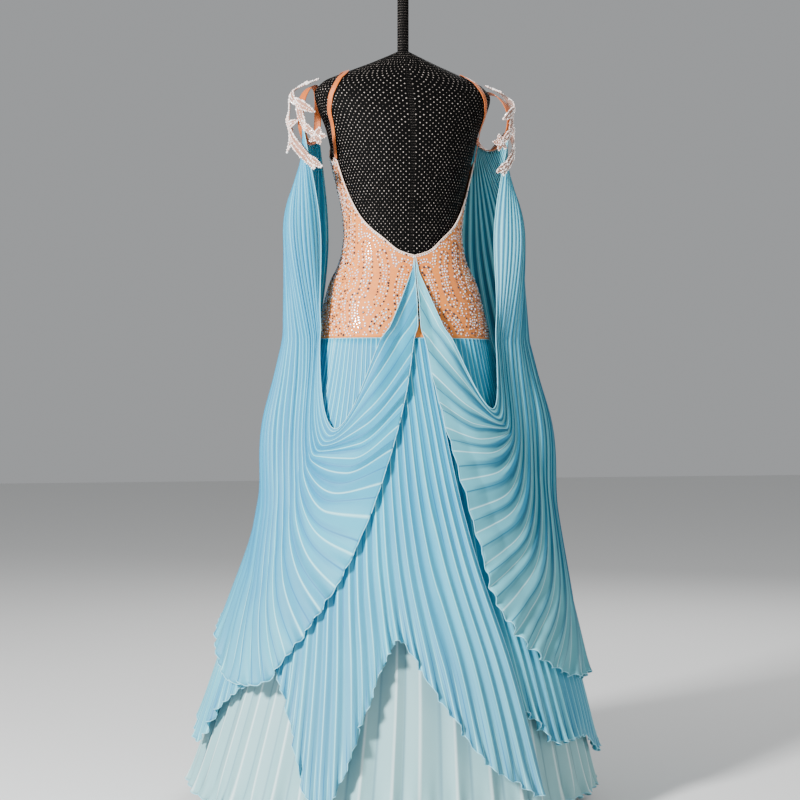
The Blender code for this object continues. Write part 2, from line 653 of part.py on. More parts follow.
def on_lace(side, round_way, up, out):
    """The place in space of a point of the flat lace."""
    turn = round_way / LACE_ARC
    bend = min(max(0.0, up - LACE_BEND_HEIGHT) / LACE_BEND_RADIUS, math.radians(LACE_BEND_ANGLE))
    beyond = max(0.0, up - LACE_BEND_HEIGHT - LACE_BEND_RADIUS * bend) if bend else 0.0
    inward = LACE_BEND_RADIUS * (1 - math.cos(bend)) + beyond * math.sin(bend)
    height = min(up, LACE_BEND_HEIGHT) + LACE_BEND_RADIUS * math.sin(bend) + beyond * math.cos(bend)
    wide = LACE_OUT - inward + out * math.cos(bend)
    deep = LACE_DEPTH * (1 - inward / LACE_OUT) + out * math.cos(bend)
    x = LACE_AXIS + wide * math.cos(turn)
    return Vector((side * x, -deep * math.sin(turn), height + out * math.sin(bend)))


def join_flat(base, others):
    """Joins the flat pieces to the base with one Boolean union and removes them."""
    pieces = bpy.data.collections.new("lace_pieces")
    bpy.context.scene.collection.children.link(pieces)
    for other in others:
        pieces.objects.link(other)
    join = base.modifiers.new("join", "BOOLEAN")
    join.operation = "UNION"
    join.solver = "EXACT"
    join.use_self = True
    join.operand_type = "COLLECTION"
    join.collection = pieces
    graph = bpy.context.evaluated_depsgraph_get()
    mesh = bpy.data.meshes.new_from_object(base.evaluated_get(graph))
    base.modifiers.clear()
    base.data = mesh
    for other in others:
        bpy.data.objects.remove(other)
    bpy.data.collections.remove(pieces)


def build_lace(collection):
    """Leaf and flower lace round the outer side of each armband."""
    shapes = []
    for leaf in LACE_LEAVES:
        start = Vector((leaf.round * MM, leaf.up))
        shapes.append((start, Vector((leaf.to_round * MM, leaf.to_up)), leaf.width * MM, leaf.rise * MM))
    for flower in LACE_FLOWERS:
        centre = Vector((flower.round * MM, flower.up))
        for i in range(PETALS):
            turn = math.tau * i / PETALS
            way = Vector((math.cos(turn), math.sin(turn))) * flower.radius * MM
            shapes.append((centre - way * PETAL_START, centre + way,
                           flower.radius * MM * PETAL_WIDTH, 0.0))
    for side, name in ((-1, "lace_left"), (1, "lace_right")):
        lace = new_object(name, stem_mesh(name), "lace", collection)
        pieces = []
        for i, (start, end, width, _) in enumerate(shapes):
            mesh = leaf_mesh(start, end, width, LACE_LEVEL_STEP * i)
            pieces.append(bpy.data.objects.new("leaf", mesh))
        join_flat(lace, pieces)
        for vertex in lace.data.vertices:
            round_way, up, out = vertex.co
            place = Vector((round_way, up))
            for _, tip, _, rise in shapes:
                out += rise * math.exp(-((place - tip).length / LACE_RISE_REACH) ** 2)
            vertex.co = on_lace(side, round_way, up, out)
        bm = bmesh.new()
        bm.from_mesh(lace.data)
        bmesh.ops.recalc_face_normals(bm, faces=bm.faces)
        bm.to_mesh(lace.data)
        bm.free()


def off_hips(side, angle, height, distance):
    """A point off the upright side that the hips' outline makes above the hip seam."""
    point = off_skirt(angle, height, distance)
    return Vector((side * point.x, point.y, point.z))


def chart_of(point):
    """The angle and the distance off the hips' upright side of a point above the hip seam."""
    angle = math.degrees(math.atan2(point.x, -point.y))
    distance = 0.0
    for _ in range(CHART_ROUNDS):
        near = off_skirt(angle, point.z, distance)
        angle += math.degrees(math.atan2(point.x, -point.y) - math.atan2(near.x, -near.y))
        distance += math.hypot(point.x, point.y) - math.hypot(near.x, near.y)
    return angle, distance


def least_offset(angle, height):
    """How far off the hips' side the cloth or form under a float reaches."""
    if height > HIP_SEAM_HEIGHT:
        body = off_figure(angle, height, BODICE_EASE + CLOTH)
        hips = skirt_point(angle, height)
        return math.hypot(body.x, body.y) - math.hypot(hips.x, hips.y)
    beyond = max(slit_angle("back_left", height) - angle, angle - slit_angle("back_right", height))
    over_panel = min(1.0, max(0.0, 1 - beyond / PANEL_DIP_ANGLE))
    return PANEL_LIFT * panel_share(height) * over_panel + skirt_pleat(height) + CLOTH


def float_line(guides, share, count):
    """Angle, height, offset and share of the way down along a pleat line, from band to hem."""
    root_angle = FLOAT_ROOT_BACK + (FLOAT_ROOT_FRONT - FLOAT_ROOT_BACK) * share
    root = on_armband(1, root_angle, 0, ARMBAND_THICKNESS + FLOAT_ROOT_GAP)
    column = Vector((
        table_value(FLOAT_COLUMN, "share", "x", share),
        table_value(FLOAT_COLUMN, "share", "y", share),
        FLOAT_COLUMN_HEIGHT,
    ))
    angles, offsets = (list(pair) for pair in zip(chart_of(root), chart_of(column)))
    heights = [root.z, column.z]
    for station in range(1, 5):
        angles.append(table_value(guides, "share", f"a{station}", share))
        heights.append(table_value(guides, "share", f"h{station}", share))
        offsets.append(table_value(guides, "share", f"d{station}", share))
    places = list(range(len(angles)))
    line = []
    for t in steps(0, places[-1], count):
        angle = curve_value(places, angles, t)
        height = curve_value(places, heights, t)
        offset = curve_value(places, offsets, t)
        line.append((angle, height, offset, t / places[-1]))
    return line


def build_floats(collection):
    """The pleated chiffon floats that hang from the armbands and swag to the centre back."""
    columns = 2 * FLOAT_PLEATS
    for side, name, guides in ((-1, "float_left", LEFT_FLOAT), (1, "float_right", RIGHT_FLOAT)):
        lines = []
        for i in range(columns + 1):
            line = []
            for angle, height, offset, down in float_line(guides, i / columns, FLOAT_ROWS):
                fullness = min(1.0, FLOAT_EDGE_FULLNESS + FLOAT_EDGE_RATE * i / columns)
                depth = (FLOAT_DEPTH_TOP + (FLOAT_DEPTH_HEM - FLOAT_DEPTH_TOP) * down) * fullness
                least = least_offset(side * angle, height) + depth + FLOAT_CLEARANCE * fullness
                raised = max(offset, least) + crest(i) * depth
                if height > HIP_SEAM_HEIGHT:
                    line.append(off_hips(side, angle, height, raised))
                else:
                    line.append(off_skirt(side * angle, height, raised))
            lines.append(line)
        rows = [list(row) for row in zip(*lines)]
        cloth(name, rows if side < 0 else rows[::-1], "blue_chiffon", collection)


def build_form(collection):
    """The dress form: a smooth torso with shoulder caps, a neck rod, a pole and a base."""
    rows = []
    for height in FORM_LEVELS:
        if height < NECK_ROD_FOOT:
            row = [figure_point(360 * i / FORM_COLUMNS, height) for i in range(FORM_COLUMNS)]
        else:
            row = [Vector((*round_point(360 * i / FORM_COLUMNS, *[NECK_ROD_RADIUS] * 3), height))
                   for i in range(FORM_COLUMNS)]
        rows.append(row)
    rod = rows[-1]
    rows.append([Vector((p.x, p.y, NECK_ROD_TOP - NECK_ROD_ROUNDING)) for p in rod])
    rows.append([Vector((p.x * NECK_ROD_END_SHARE, p.y * NECK_ROD_END_SHARE, NECK_ROD_TOP))
                 for p in rod])
    mesh = grid_mesh("form_torso", rows, closed=True)
    bm = bmesh.new()
    bm.from_mesh(mesh)
    bmesh.ops.holes_fill(bm, edges=[edge for edge in bm.edges if edge.is_boundary], sides=0)
    bmesh.ops.recalc_face_normals(bm, faces=bm.faces)
    bm.to_mesh(mesh)
    bm.free()
    mesh.shade_smooth()
    form = new_object("form_torso", mesh, "form_cover", collection)

    pole_top = FIGURE[0].height - STAND_GAP
    for name, radius, low, high in (
        ("stand_base", BASE_RADIUS, 0.0, BASE_THICKNESS),
        ("stand_pole", POLE_RADIUS, BASE_THICKNESS + STAND_GAP, pole_top),
    ):
        bpy.ops.mesh.primitive_cylinder_add(
            vertices=STAND_SIDES, radius=radius, depth=high - low, location=(0, 0, (low + high) / 2)
        )
        made = bpy.context.object
        made.name = name
        for other in list(made.users_collection):
            other.objects.unlink(made)
        collection.objects.link(made)
        made.data.materials.append(bpy.data.materials.get("stand_metal") or make_material("stand_metal"))
        if name == "stand_base":
            edge = made.modifiers.new("edge", "BEVEL")
            edge.width = BASE_EDGE
            edge.segments = 1
    return form


def build():
    for obj in list(bpy.data.objects):
        bpy.data.objects.remove(obj)
    collection = bpy.data.collections.new("ballroom_dress")
    bpy.context.scene.collection.children.link(collection)
    form = build_form(collection)
    build_bodice(collection)
    build_straps(collection, form)
    build_underskirt(collection)
    build_overskirt(collection)
    build_armbands(collection)
    build_lace(collection)
    build_floats(collection)


build()
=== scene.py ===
"""The looks of a backless ballroom dance dress on a dress form.

Metres, +Z up, -Y out of the low back, +X to the wearer's right. Round pieces are described by an
angle and a height: 0 degrees is the centre back, 90 the wearer's right and 180 the centre front.
"""

import math
from collections import namedtuple

import bpy
import numpy as np
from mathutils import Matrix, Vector


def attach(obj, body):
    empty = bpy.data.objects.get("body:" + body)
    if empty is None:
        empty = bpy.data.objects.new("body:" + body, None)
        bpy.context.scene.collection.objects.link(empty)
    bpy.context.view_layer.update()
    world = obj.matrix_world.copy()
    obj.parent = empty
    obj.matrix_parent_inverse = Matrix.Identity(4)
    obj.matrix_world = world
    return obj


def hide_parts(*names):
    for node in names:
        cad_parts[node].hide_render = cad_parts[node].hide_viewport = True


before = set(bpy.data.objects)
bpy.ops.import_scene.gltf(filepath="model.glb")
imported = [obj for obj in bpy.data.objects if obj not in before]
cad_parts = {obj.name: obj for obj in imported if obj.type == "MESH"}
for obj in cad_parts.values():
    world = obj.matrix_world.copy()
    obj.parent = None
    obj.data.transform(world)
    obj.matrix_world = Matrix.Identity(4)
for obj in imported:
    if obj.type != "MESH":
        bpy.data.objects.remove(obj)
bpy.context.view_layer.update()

# The gown's driving sizes, as in the solids.
HIP_SEAM_HEIGHT = 0.900
HEM_HEIGHT = 0.040
CLOTH = 0.0012
BODICE_EASE = 0.0039
ROUNDNESS = 2.2
NECK_ROD_RADIUS = 0.011
NECK_ROD_FOOT = 1.468
NECK_ROD_TOP = 1.600

BACK_PANEL_PLEATS = 20
FRONT_PANEL_PLEATS = 76
UNDERSKIRT_PLEATS = 44
FLOAT_PLEATS = 26
OVERSKIRT_DEPTH_TOP = 0.0016
OVERSKIRT_DEPTH_HEM = 0.0075
UNDERSKIRT_DEPTH_TOP = 0.0008
UNDERSKIRT_DEPTH_HEM = 0.0100
FLOAT_DEPTH_TOP = 0.0006
FLOAT_DEPTH_HEM = 0.0050
FLOAT_ROOT_GAP = 0.0009
FLOAT_CLEARANCE = 0.0034
FLOAT_EDGE_FULLNESS = 0.16
FLOAT_EDGE_RATE = 6
PANEL_LIFT = 0.0146
PANEL_DIP = 0.0055
PANEL_DIP_ANGLE = 22
PANEL_RISE = 0.25
UNDERSKIRT_DROP = 0.014

STRAP_WIDTH = 0.010
STRAP_REST = 0.0016
STRAP_LANDING = 1.5

ARMBAND_WIDTH = 0.014
ARMBAND_THICKNESS = 0.0015
ARMBAND_HALF_HEIGHT = 0.056
ARMBAND_HALF_DEPTH = 0.048
ARMBAND_CENTRE = (0.1855, 0.0137, 1.338)
ARMBAND_BACK = (0.52, -0.854, 0.0)
ARMBAND_LEAN = 0.010
ARMBAND_TILT = 0.4

LACE_THICKNESS = 0.0022
LACE_AXIS = 0.155
LACE_OUT = 0.0702
LACE_DEPTH = 0.0600
LACE_ARC = 0.066
LACE_BEND_HEIGHT = 1.364
LACE_BEND_RADIUS = 0.026
LACE_BEND_ANGLE = 66
LACE_RISE_REACH = 0.014

# How finely the cloth is drawn, as points on each pleat and rows down each piece.
PLEAT_POINTS = 8
FLOAT_POINTS = 10
PANEL_ROWS = 64
FLOAT_ROWS = 96
SHELL = 0.0005
HEM_ROLL = 0.0009
# How far a pleat may lie beside its even place, as a share of a pleat, and how shallow it may be.
PLEAT_DRIFT = 0.22
PLEAT_SHALLOW = 0.55
# The wave of a rolled hem: its length along the edge, its height and how far up it reaches.
HEM_WAVE = 0.034
HEM_WAVE_HEIGHT = 0.0068
HEM_WAVE_RISE = 0.0035
HEM_WAVE_REACH = 0.024
# A float's edge is calm above this height, and frills fully this far below it.
FRILL_TOP = 0.56
FRILL_FADE = 0.16
FRILL_LEAST = 0.05
# The skirt's pleats start to open at this height, and are fully open this far below it.
OPENING_TOP = 0.80
OPENING_FADE = 0.35
# The shares of the skirt's relief that its wide and its narrow pleats have.
SKIRT_COARSE = 0.45
SKIRT_FINE = 0.35
# The relief of the underskirt's flat pleats, as a share.
UNDERSKIRT_RELIEF = 0.6
# The shares of a float's relief that its pleats and its soft folds have.
FLOAT_PRESSED = 0.72
FLOAT_SOFT = 0.28
# How dark the crescents of painted shade between the pleats of each float are, by its side, darker on the right one,
# away from the key light, and how wide they get.
CRESCENT = {-1: 0.6, 1: 1.0}
CRESCENT_LEAST = 0.06
CRESCENT_WIDTH = 0.50
CRESCENT_EDGE = 0.07
CRESCENT_CLOSING = 1.6
CRESCENT_CLOSING_POWER = 0.7
# The pale colour that the chiffon fades to near the floor.
WASHED = (0.30, 0.66, 0.68)
# The share of light that passes through the chiffon.
GLOW = 0.22
# How dark the broad zones of painted shade on each float get, by its side, and how many pleats one takes in.
ZONE = {-1: 0.34, 1: 0.12}
ZONE_PLEATS = 3.4
ZONE_DRIFT = 0.35
ZONE_DRIFT_RATE = 0.17
# How far the floats lean towards the centre back above the hip seam, in degrees.
INNER_LAP = 2.2
INNER_LAP_MOST = 0.6
INNER_LAP_FALL = 8
# How far a float is lifted to clear the stones under it.
STONE_CLEAR = 0.0022
# How many rows from the hem a frill reaches, and a height that the whole gown lies below.
PANEL_FRILL_ROWS = 24
FLOAT_FRILL_ROWS = 30
ABOVE_ALL = 9.0
# The rounds in which a panel's heights and a float's places on the hips settle.
HEM_ROUNDS = 6
CHART_ROUNDS = 20
# The bodice's grid, the places along its rim, and the stones kept out of those that a row finds.
BODICE_COLUMNS = 101
BODICE_ROWS = 40
RIM_PLACES = 400
ROW_HALF_WIDTH = 0.0005
STONES_SKIPPED = 7

# The cut of a piece of cloth, laid flat: the width and length it fits in and its area, how it is held and what it hangs
# from. No piece is given one here.
Cut = namedtuple("Cut", "width length area held hangs_from")

Section = namedtuple("Section", "height half_width back front")
FIGURE = (
    Section(0.735, 0.118, 0.084, 0.074),
    Section(0.746, 0.145, 0.103, 0.088),
    Section(0.772, 0.162, 0.1155, 0.0965),
    Section(0.830, 0.170, 0.1225, 0.1010),
    Section(0.870, 0.1695, 0.1230, 0.1000),
    Section(0.904, 0.1670, 0.1205, 0.0985),
    Section(0.959, 0.1550, 0.1110, 0.0960),
    Section(1.008, 0.1415, 0.0985, 0.0940),
    Section(1.054, 0.1205, 0.0870, 0.0910),
    Section(1.107, 0.1120, 0.0810, 0.0890),
    Section(1.150, 0.1155, 0.0850, 0.0960),
    Section(1.192, 0.1233, 0.0920, 0.1060),
    Section(1.235, 0.1330, 0.0980, 0.1130),
    Section(1.274, 0.1420, 0.1010, 0.1140),
    Section(1.314, 0.1530, 0.1000, 0.1060),
    Section(1.350, 0.1690, 0.0930, 0.0900),
    Section(1.380, 0.1770, 0.0810, 0.0700),
    Section(1.402, 0.1610, 0.0680, 0.0550),
    Section(1.422, 0.1170, 0.0530, 0.0430),
    Section(1.442, 0.0680, 0.0380, 0.0340),
    Section(1.458, 0.0320, 0.0240, 0.0240),
)
SKIRT = (
    Section(0.900, 0.1718, 0.1256, 0.1034),
    Section(0.820, 0.1885, 0.1440, 0.1222),
    Section(0.700, 0.2210, 0.1840, 0.1640),
    Section(0.550, 0.2640, 0.2350, 0.2180),
    Section(0.400, 0.3100, 0.2870, 0.2720),
    Section(0.250, 0.3540, 0.3400, 0.3220),
    Section(0.040, 0.4130, 0.3940, 0.3710),
)
SKIRT_SWING = 0.024
Inset = namedtuple("Inset", "share inset")
UNDERSKIRT_ROWS = (
    Inset(0, 0.0042), Inset(0.1, 0.0105), Inset(0.3, 0.019), Inset(0.65, 0.022), Inset(1, 0.020),
)
CUP_SPACING = 0.076
CUP_HEIGHT = 1.262
CUP_WIDTH = 0.060
CUP_TALL = 0.058
CUP_DEPTH = 0.017
CUP_FADE = 0.05

Edge = namedtuple("Edge", "angle height")
BACK_NECKLINE = (
    Edge(0, 1.059), Edge(12, 1.068), Edge(28, 1.093), Edge(45, 1.118), Edge(57, 1.142),
    Edge(68, 1.176), Edge(75, 1.212), Edge(80, 1.250), Edge(84, 1.254), Edge(90, 1.246),
)
FRONT_NECKLINE = (
    Edge(90, 1.246), Edge(105, 1.262), Edge(120, 1.285), Edge(133, 1.316), Edge(138, 1.328),
    Edge(144, 1.328), Edge(150, 1.306), Edge(160, 1.266), Edge(170, 1.240), Edge(180, 1.232),
)
STRAP_ROUTE = (
    Edge(79, 1.252), Edge(76, 1.290), Edge(71, 1.330), Edge(62, 1.362), Edge(55, 1.388),
    Edge(58, 1.408), Edge(80, 1.4215), Edge(112, 1.4175), Edge(133, 1.402), Edge(143, 1.376),
    Edge(144, 1.350), Edge(141, 1.329),
)
BACK_PANEL_HEM = (
    Edge(-56, 0.420), Edge(-50, 0.285), Edge(-44, 0.235), Edge(-38, 0.150), Edge(-33, 0.082),
    Edge(-28, 0.062), Edge(-25, 0.100), Edge(-20, 0.220), Edge(-15, 0.320), Edge(-11, 0.352),
    Edge(-7, 0.318), Edge(-2, 0.262), Edge(4, 0.190), Edge(10, 0.132), Edge(18, 0.095),
    Edge(24, 0.070), Edge(30, 0.096),
)
FRONT_PANEL_HEM = (
    Edge(14, 0.250), Edge(26, 0.205), Edge(36, 0.150), Edge(52, 0.150), Edge(70, 0.105),
    Edge(88, 0.145), Edge(108, 0.270), Edge(126, 0.190), Edge(146, 0.080), Edge(164, 0.190),
    Edge(182, 0.300), Edge(200, 0.190), Edge(218, 0.080), Edge(236, 0.190), Edge(250, 0.225),
    Edge(262, 0.150), Edge(271, 0.132), Edge(281, 0.205), Edge(300, 0.275), Edge(314, 0.320),
)
Slit = namedtuple("Slit", "height back_right front_right back_left front_left")
SLITS = (
    Slit(0.900, 5.0, 6.2, -60.0, -61.2),
    Slit(0.760, 7.5, 7.0, -58.0, -59.0),
    Slit(0.640, 9.5, 6.0, -57.0, -56.0),
    Slit(0.500, 13.5, 6.0, -56.0, -51.0),
    Slit(0.300, 21.0, 10.0, -53.0, -47.0),
    Slit(0.040, 27.0, 14.0, -50.0, -45.0),
)
Guide = namedtuple("Guide", "share a1 h1 d1 a2 h2 d2 a3 h3 d3 a4 h4 d4")
LEFT_FLOAT = (
    Guide(0.00, 67, 0.905, 0.024, 44, 0.728, 0.022, 23, 0.893, 0.020, 0.9, 1.054, -0.034),
    Guide(0.05, 67.4, 0.893, 0.024, 46, 0.716, 0.022, 25, 0.825, 0.021, 1.4, 0.955, -0.010),
    Guide(0.12, 68, 0.875, 0.024, 49, 0.700, 0.022, 28, 0.745, 0.022, 5.7, 0.845, 0.014),
    Guide(0.26, 70, 0.840, 0.028, 55, 0.665, 0.022, 36, 0.638, 0.022, 16, 0.676, 0.016),
    Guide(0.39, 74, 0.805, 0.036, 61, 0.620, 0.022, 46, 0.515, 0.020, 31, 0.462, 0.016),
    Guide(0.50, 79, 0.785, 0.056, 69, 0.580, 0.024, 57, 0.440, 0.018, 44, 0.338, 0.016),
    Guide(0.60, 83, 0.775, 0.068, 76, 0.560, 0.026, 66, 0.400, 0.018, 54, 0.268, 0.016),
    Guide(0.70, 88, 0.770, 0.070, 84, 0.560, 0.026, 78, 0.405, 0.012, 71, 0.262, 0.014),
    Guide(0.78, 93, 0.775, 0.070, 92, 0.575, 0.026, 89, 0.430, 0.012, 84, 0.285, 0.016),
    Guide(0.86, 100, 0.785, 0.058, 100, 0.600, 0.028, 99, 0.470, 0.016, 97, 0.332, 0.024),
    Guide(1.00, 119, 0.810, 0.020, 121, 0.640, 0.026, 123, 0.500, 0.026, 125, 0.372, 0.026),
)
RIGHT_FLOAT = (
    Guide(0.00, 57, 0.905, 0.024, 37, 0.765, 0.022, 18, 0.893, 0.020, 0.9, 1.054, -0.034),
    Guide(0.045, 58.3, 0.896, 0.025, 39.3, 0.752, 0.022, 19.6, 0.840, 0.021, 1.4, 0.945, -0.008),
    Guide(0.10, 60, 0.885, 0.026, 42, 0.738, 0.022, 22, 0.770, 0.022, 4.2, 0.835, 0.014),
    Guide(0.22, 64, 0.858, 0.032, 47, 0.706, 0.024, 28, 0.672, 0.022, 9.6, 0.672, 0.016),
    Guide(0.32, 69, 0.830, 0.046, 53, 0.665, 0.028, 34, 0.575, 0.022, 13.8, 0.542, 0.016),
    Guide(0.42, 74, 0.808, 0.062, 60, 0.625, 0.034, 41, 0.495, 0.022, 17, 0.420, 0.016),
    Guide(0.51, 78, 0.790, 0.076, 66, 0.595, 0.040, 50, 0.440, 0.024, 27, 0.331, 0.016),
    Guide(0.60, 83, 0.780, 0.088, 73, 0.570, 0.044, 60, 0.405, 0.026, 40, 0.281, 0.016),
    Guide(0.69, 88, 0.770, 0.092, 81, 0.560, 0.048, 71, 0.395, 0.026, 58, 0.256, 0.018),
    Guide(0.80, 96, 0.780, 0.084, 93, 0.580, 0.048, 88, 0.425, 0.028, 80, 0.262, 0.020),
    Guide(1.00, 119, 0.810, 0.020, 120, 0.640, 0.026, 121, 0.500, 0.026, 122, 0.362, 0.026),
)
FLOAT_COLUMN_HEIGHT = 1.100
Column = namedtuple("Column", "share x y")
FLOAT_COLUMN = (
    Column(0.00, 0.176, -0.038), Column(0.12, 0.201, -0.052), Column(0.25, 0.226, -0.052),
    Column(0.40, 0.240, -0.036), Column(0.55, 0.240, -0.006), Column(0.70, 0.226, 0.024),
    Column(0.85, 0.186, 0.050), Column(1.00, 0.136, 0.066),
)
FLOAT_ROOT_BACK = 104
FLOAT_ROOT_FRONT = 262

MM = 0.001
Stem = namedtuple("Stem", "round up width")
LACE_STEM = (
    Stem(12, 1.440, 11), Stem(8, 1.424, 17), Stem(0, 1.404, 21), Stem(-9, 1.382, 21),
    Stem(-14, 1.358, 16), Stem(-14, 1.334, 14), Stem(-6, 1.311, 18), Stem(12, 1.290, 22),
    Stem(34, 1.269, 21), Stem(56, 1.247, 16), Stem(72, 1.226, 7),
)
Leaf = namedtuple("Leaf", "round up to_round to_up width rise")
LACE_LEAVES = (
    Leaf(6, 1.420, 32, 1.406, 16, 0),
    Leaf(0, 1.400, -16, 1.416, 16, 5),
    Leaf(-12, 1.354, -26, 1.326, 15, 7),
    Leaf(-8, 1.382, 34, 1.352, 20, 0),
    Leaf(22, 1.362, 72, 1.334, 19, 2),
    Leaf(-8, 1.314, 36, 1.320, 15, 0),
    Leaf(32, 1.356, 54, 1.300, 16, 0),
    Leaf(46, 1.314, 74, 1.288, 15, 1),
    Leaf(56, 1.250, 86, 1.228, 15, 1),
    Leaf(12, 1.292, -8, 1.262, 15, 4),
    Leaf(-12, 1.330, -50, 1.300, 17, 3),
    Leaf(-40, 1.308, -78, 1.254, 17, 4),
    Leaf(-66, 1.274, -112, 1.222, 15, 4),
)
Flower = namedtuple("Flower", "round up radius")
LACE_FLOWERS = (Flower(76, 1.288, 17),)
PETALS = 5

# Stone rows run round these lines of the bodice, each from its first to its last point. across is
# millimetres from the centre back or front towards the side, and up is the height in metres.
Spine = namedtuple("Spine", "across1 up1 across2 up2 across3 up3")
BACK_SPINES = (
    Spine(22, 1.028, 40, 0.985, 34, 0.945),
    Spine(62, 1.060, 52, 1.010, 74, 0.968),
    Spine(92, 1.078, 84, 1.030, 104, 0.985),
    Spine(60, 0.945, 82, 0.930, 84, 0.916),
    Spine(118, 0.975, 128, 0.945, 118, 0.918),
    Spine(150, 1.060, 152, 1.000, 166, 0.950),
    Spine(122, 1.140, 124, 1.095, 128, 1.050),
    Spine(150, 1.210, 146, 1.160, 152, 1.110),
    Spine(198, 1.000, 205, 0.960, 208, 0.915),
)
FRONT_SPINES = (
    Spine(12, 1.180, 30, 1.120, 20, 1.060),
    Spine(60, 1.130, 52, 1.070, 74, 1.010),
    Spine(78, 1.290, 84, 1.262, 76, 1.236),
    Spine(108, 1.220, 112, 1.160, 104, 1.100),
    Spine(24, 1.000, 44, 0.960, 40, 0.920),
    Spine(100, 1.040, 110, 0.980, 96, 0.930),
    Spine(150, 1.200, 150, 1.140, 144, 1.080),
    Spine(150, 1.030, 160, 0.980, 156, 0.930),
)
STONE_PITCH = 0.0054
# Rows of stones run in pairs: the gap within a pair, and the wider one between two pairs.
STONE_ROW = 0.0056
STONE_GAP = 0.0098
STONE_RADIUS = 0.0022
STONE_HEIGHT = 0.0014
# The rows stand alone as far as this from the centre; beyond it the gaps are filled.
FLANK = 0.118
# Every third row has a dark stone at every other place: painted shade for the dark gaps between the bright stones.
DARK_SHADE = 0.9


# Curves and surfaces.

def smooth(places, values, at):
    """Smooth values between named ones that never swing past them."""
    places, values = np.asarray(places, float), np.asarray(values, float)
    rates = np.diff(values) / np.diff(places)
    slopes = np.zeros(len(places))
    slopes[0], slopes[-1] = rates[0], rates[-1]
    before, after = rates[:-1], rates[1:]
    total = np.where(before + after == 0, 1, before + after)
    slopes[1:-1] = np.where(before * after > 0, 2 * before * after / total, 0)
    at = np.clip(at, places[0], places[-1])
    i = np.clip(np.searchsorted(places, at, "right") - 1, 0, len(places) - 2)
    span = places[i + 1] - places[i]
    t = (at - places[i]) / span
    return (
        values[i] * (1 + 2 * t) * (1 - t) ** 2
        + slopes[i] * span * t * (1 - t) ** 2
        + values[i + 1] * t * t * (3 - 2 * t)
        + slopes[i + 1] * span * t * t * (t - 1)
    )


def looked_up(rows, by, column, at):
    rows = sorted(rows, key=lambda row: getattr(row, by))
    return smooth([getattr(r, by) for r in rows], [getattr(r, column) for r in rows], at)


def unit(vectors):
    return vectors / np.maximum(np.linalg.norm(vectors, axis=-1, keepdims=True), 1e-12)


def round_point(angle, half_width, back, front):
    s, c = np.sin(np.radians(angle)), np.cos(np.radians(angle))
    power = 2 / ROUNDNESS
    depth = np.where(c > 0, back, front)
    return half_width * np.sign(s) * np.abs(s) ** power, -depth * np.sign(c) * np.abs(c) ** power


def figure(angle, height):
    angle, height = np.broadcast_arrays(np.asarray(angle, float), np.asarray(height, float))
    x, y = round_point(angle, *[looked_up(FIGURE, "height", c, height) for c in Section._fields[1:]])
    across, up = (np.abs(x) - CUP_SPACING) / CUP_WIDTH, (height - CUP_HEIGHT) / CUP_TALL
    y = y + np.where(y > 0, CUP_DEPTH * np.exp(-across ** 2 - up ** 2) * np.clip(y / CUP_FADE, 0, 1), 0)
    return np.stack([x, y, height], -1)


def skirt(angle, height):
    angle, height = np.broadcast_arrays(np.asarray(angle, float), np.asarray(height, float))
    level = np.minimum(height, HIP_SEAM_HEIGHT)
    x, y = round_point(angle, *[looked_up(SKIRT, "height", c, level) for c in Section._fields[1:]])
    fallen = (HIP_SEAM_HEIGHT - level) / (HIP_SEAM_HEIGHT - HEM_HEIGHT)
    return np.stack([x - SKIRT_SWING * fallen ** 2, y, height], -1)


def outward(surface, angle, height):
    around = surface(angle + 1, height) - surface(angle - 1, height)
    up = surface(angle, height + 0.003) - surface(angle, height - 0.003)
    return unit(np.cross(around, up))


def off_figure(angle, height, distance):
    normal = outward(figure, angle, height)
    return figure(angle, height) + normal * np.asarray(distance)[..., None]


def off_skirt(angle, height, distance):
    normal = outward(skirt, angle, np.minimum(height, HIP_SEAM_HEIGHT - 0.003))
    normal = unit(normal * np.array([1, 1, 0]))
    return skirt(angle, height) + normal * np.asarray(distance)[..., None]


def pleat_depth(height, at_hip, at_hem):
    return at_hip + (at_hem - at_hip) * (HIP_SEAM_HEIGHT - height) / (HIP_SEAM_HEIGHT - HEM_HEIGHT)


def pleat(count, sharp=0.985):
    """The fold of a pleat, from -1 at its trough to 1 at its crest, which are whole numbers apart."""
    return np.arcsin(-sharp * np.cos(np.pi * count)) / math.asin(sharp)


def uneven(count, seed):
    """Where each point of evenly counted pleats really lies, and how deep its pleat is."""
    rng = np.random.default_rng(seed)
    last = int(round(count.max()))
    nodes = np.arange(last + 1)
    drift = rng.uniform(-1, 1, last + 1) * PLEAT_DRIFT
    drift[0] = drift[-1] = 0
    depth = rng.uniform(PLEAT_SHALLOW, 1, last + 1)
    return count + np.interp(count, nodes, drift), np.interp(count, nodes, depth)


def panel_share(height):
    return np.clip((HIP_SEAM_HEIGHT - height) / PANEL_RISE, None, 1)


def surface_normals(points):
    """Unit normals of a grid of points, to the left of a row seen along the rows."""
    along = np.gradient(points, axis=1)
    up = np.gradient(points, axis=0)
    return unit(np.cross(along, up))


# Objects.

def finished(obj, material, replaces=()):
    obj.data.materials.append(material)
    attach(obj, "root")
    if replaces:
        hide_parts(*replaces)
    return obj


def mesh_object(name, points, faces, folds=None, uvs=None, smooth_shading=True):
    mesh = bpy.data.meshes.new(name)
    mesh.from_pydata(np.asarray(points, float).tolist(), [], faces)
    if folds is not None:
        mesh.attributes.new("fold", "FLOAT", "POINT").data.foreach_set(
            "value", np.asarray(folds, np.float32).ravel())
    if uvs is not None:
        corners = np.zeros(len(mesh.loops), np.int32)
        mesh.loops.foreach_get("vertex_index", corners)
        layer = mesh.uv_layers.new(name="cloth")
        layer.data.foreach_set("uv", np.asarray(uvs, np.float32)[corners].ravel())
    if smooth_shading:
        mesh.shade_smooth()
    obj = bpy.data.objects.new(name, mesh)
    bpy.context.scene.collection.objects.link(obj)
    return obj


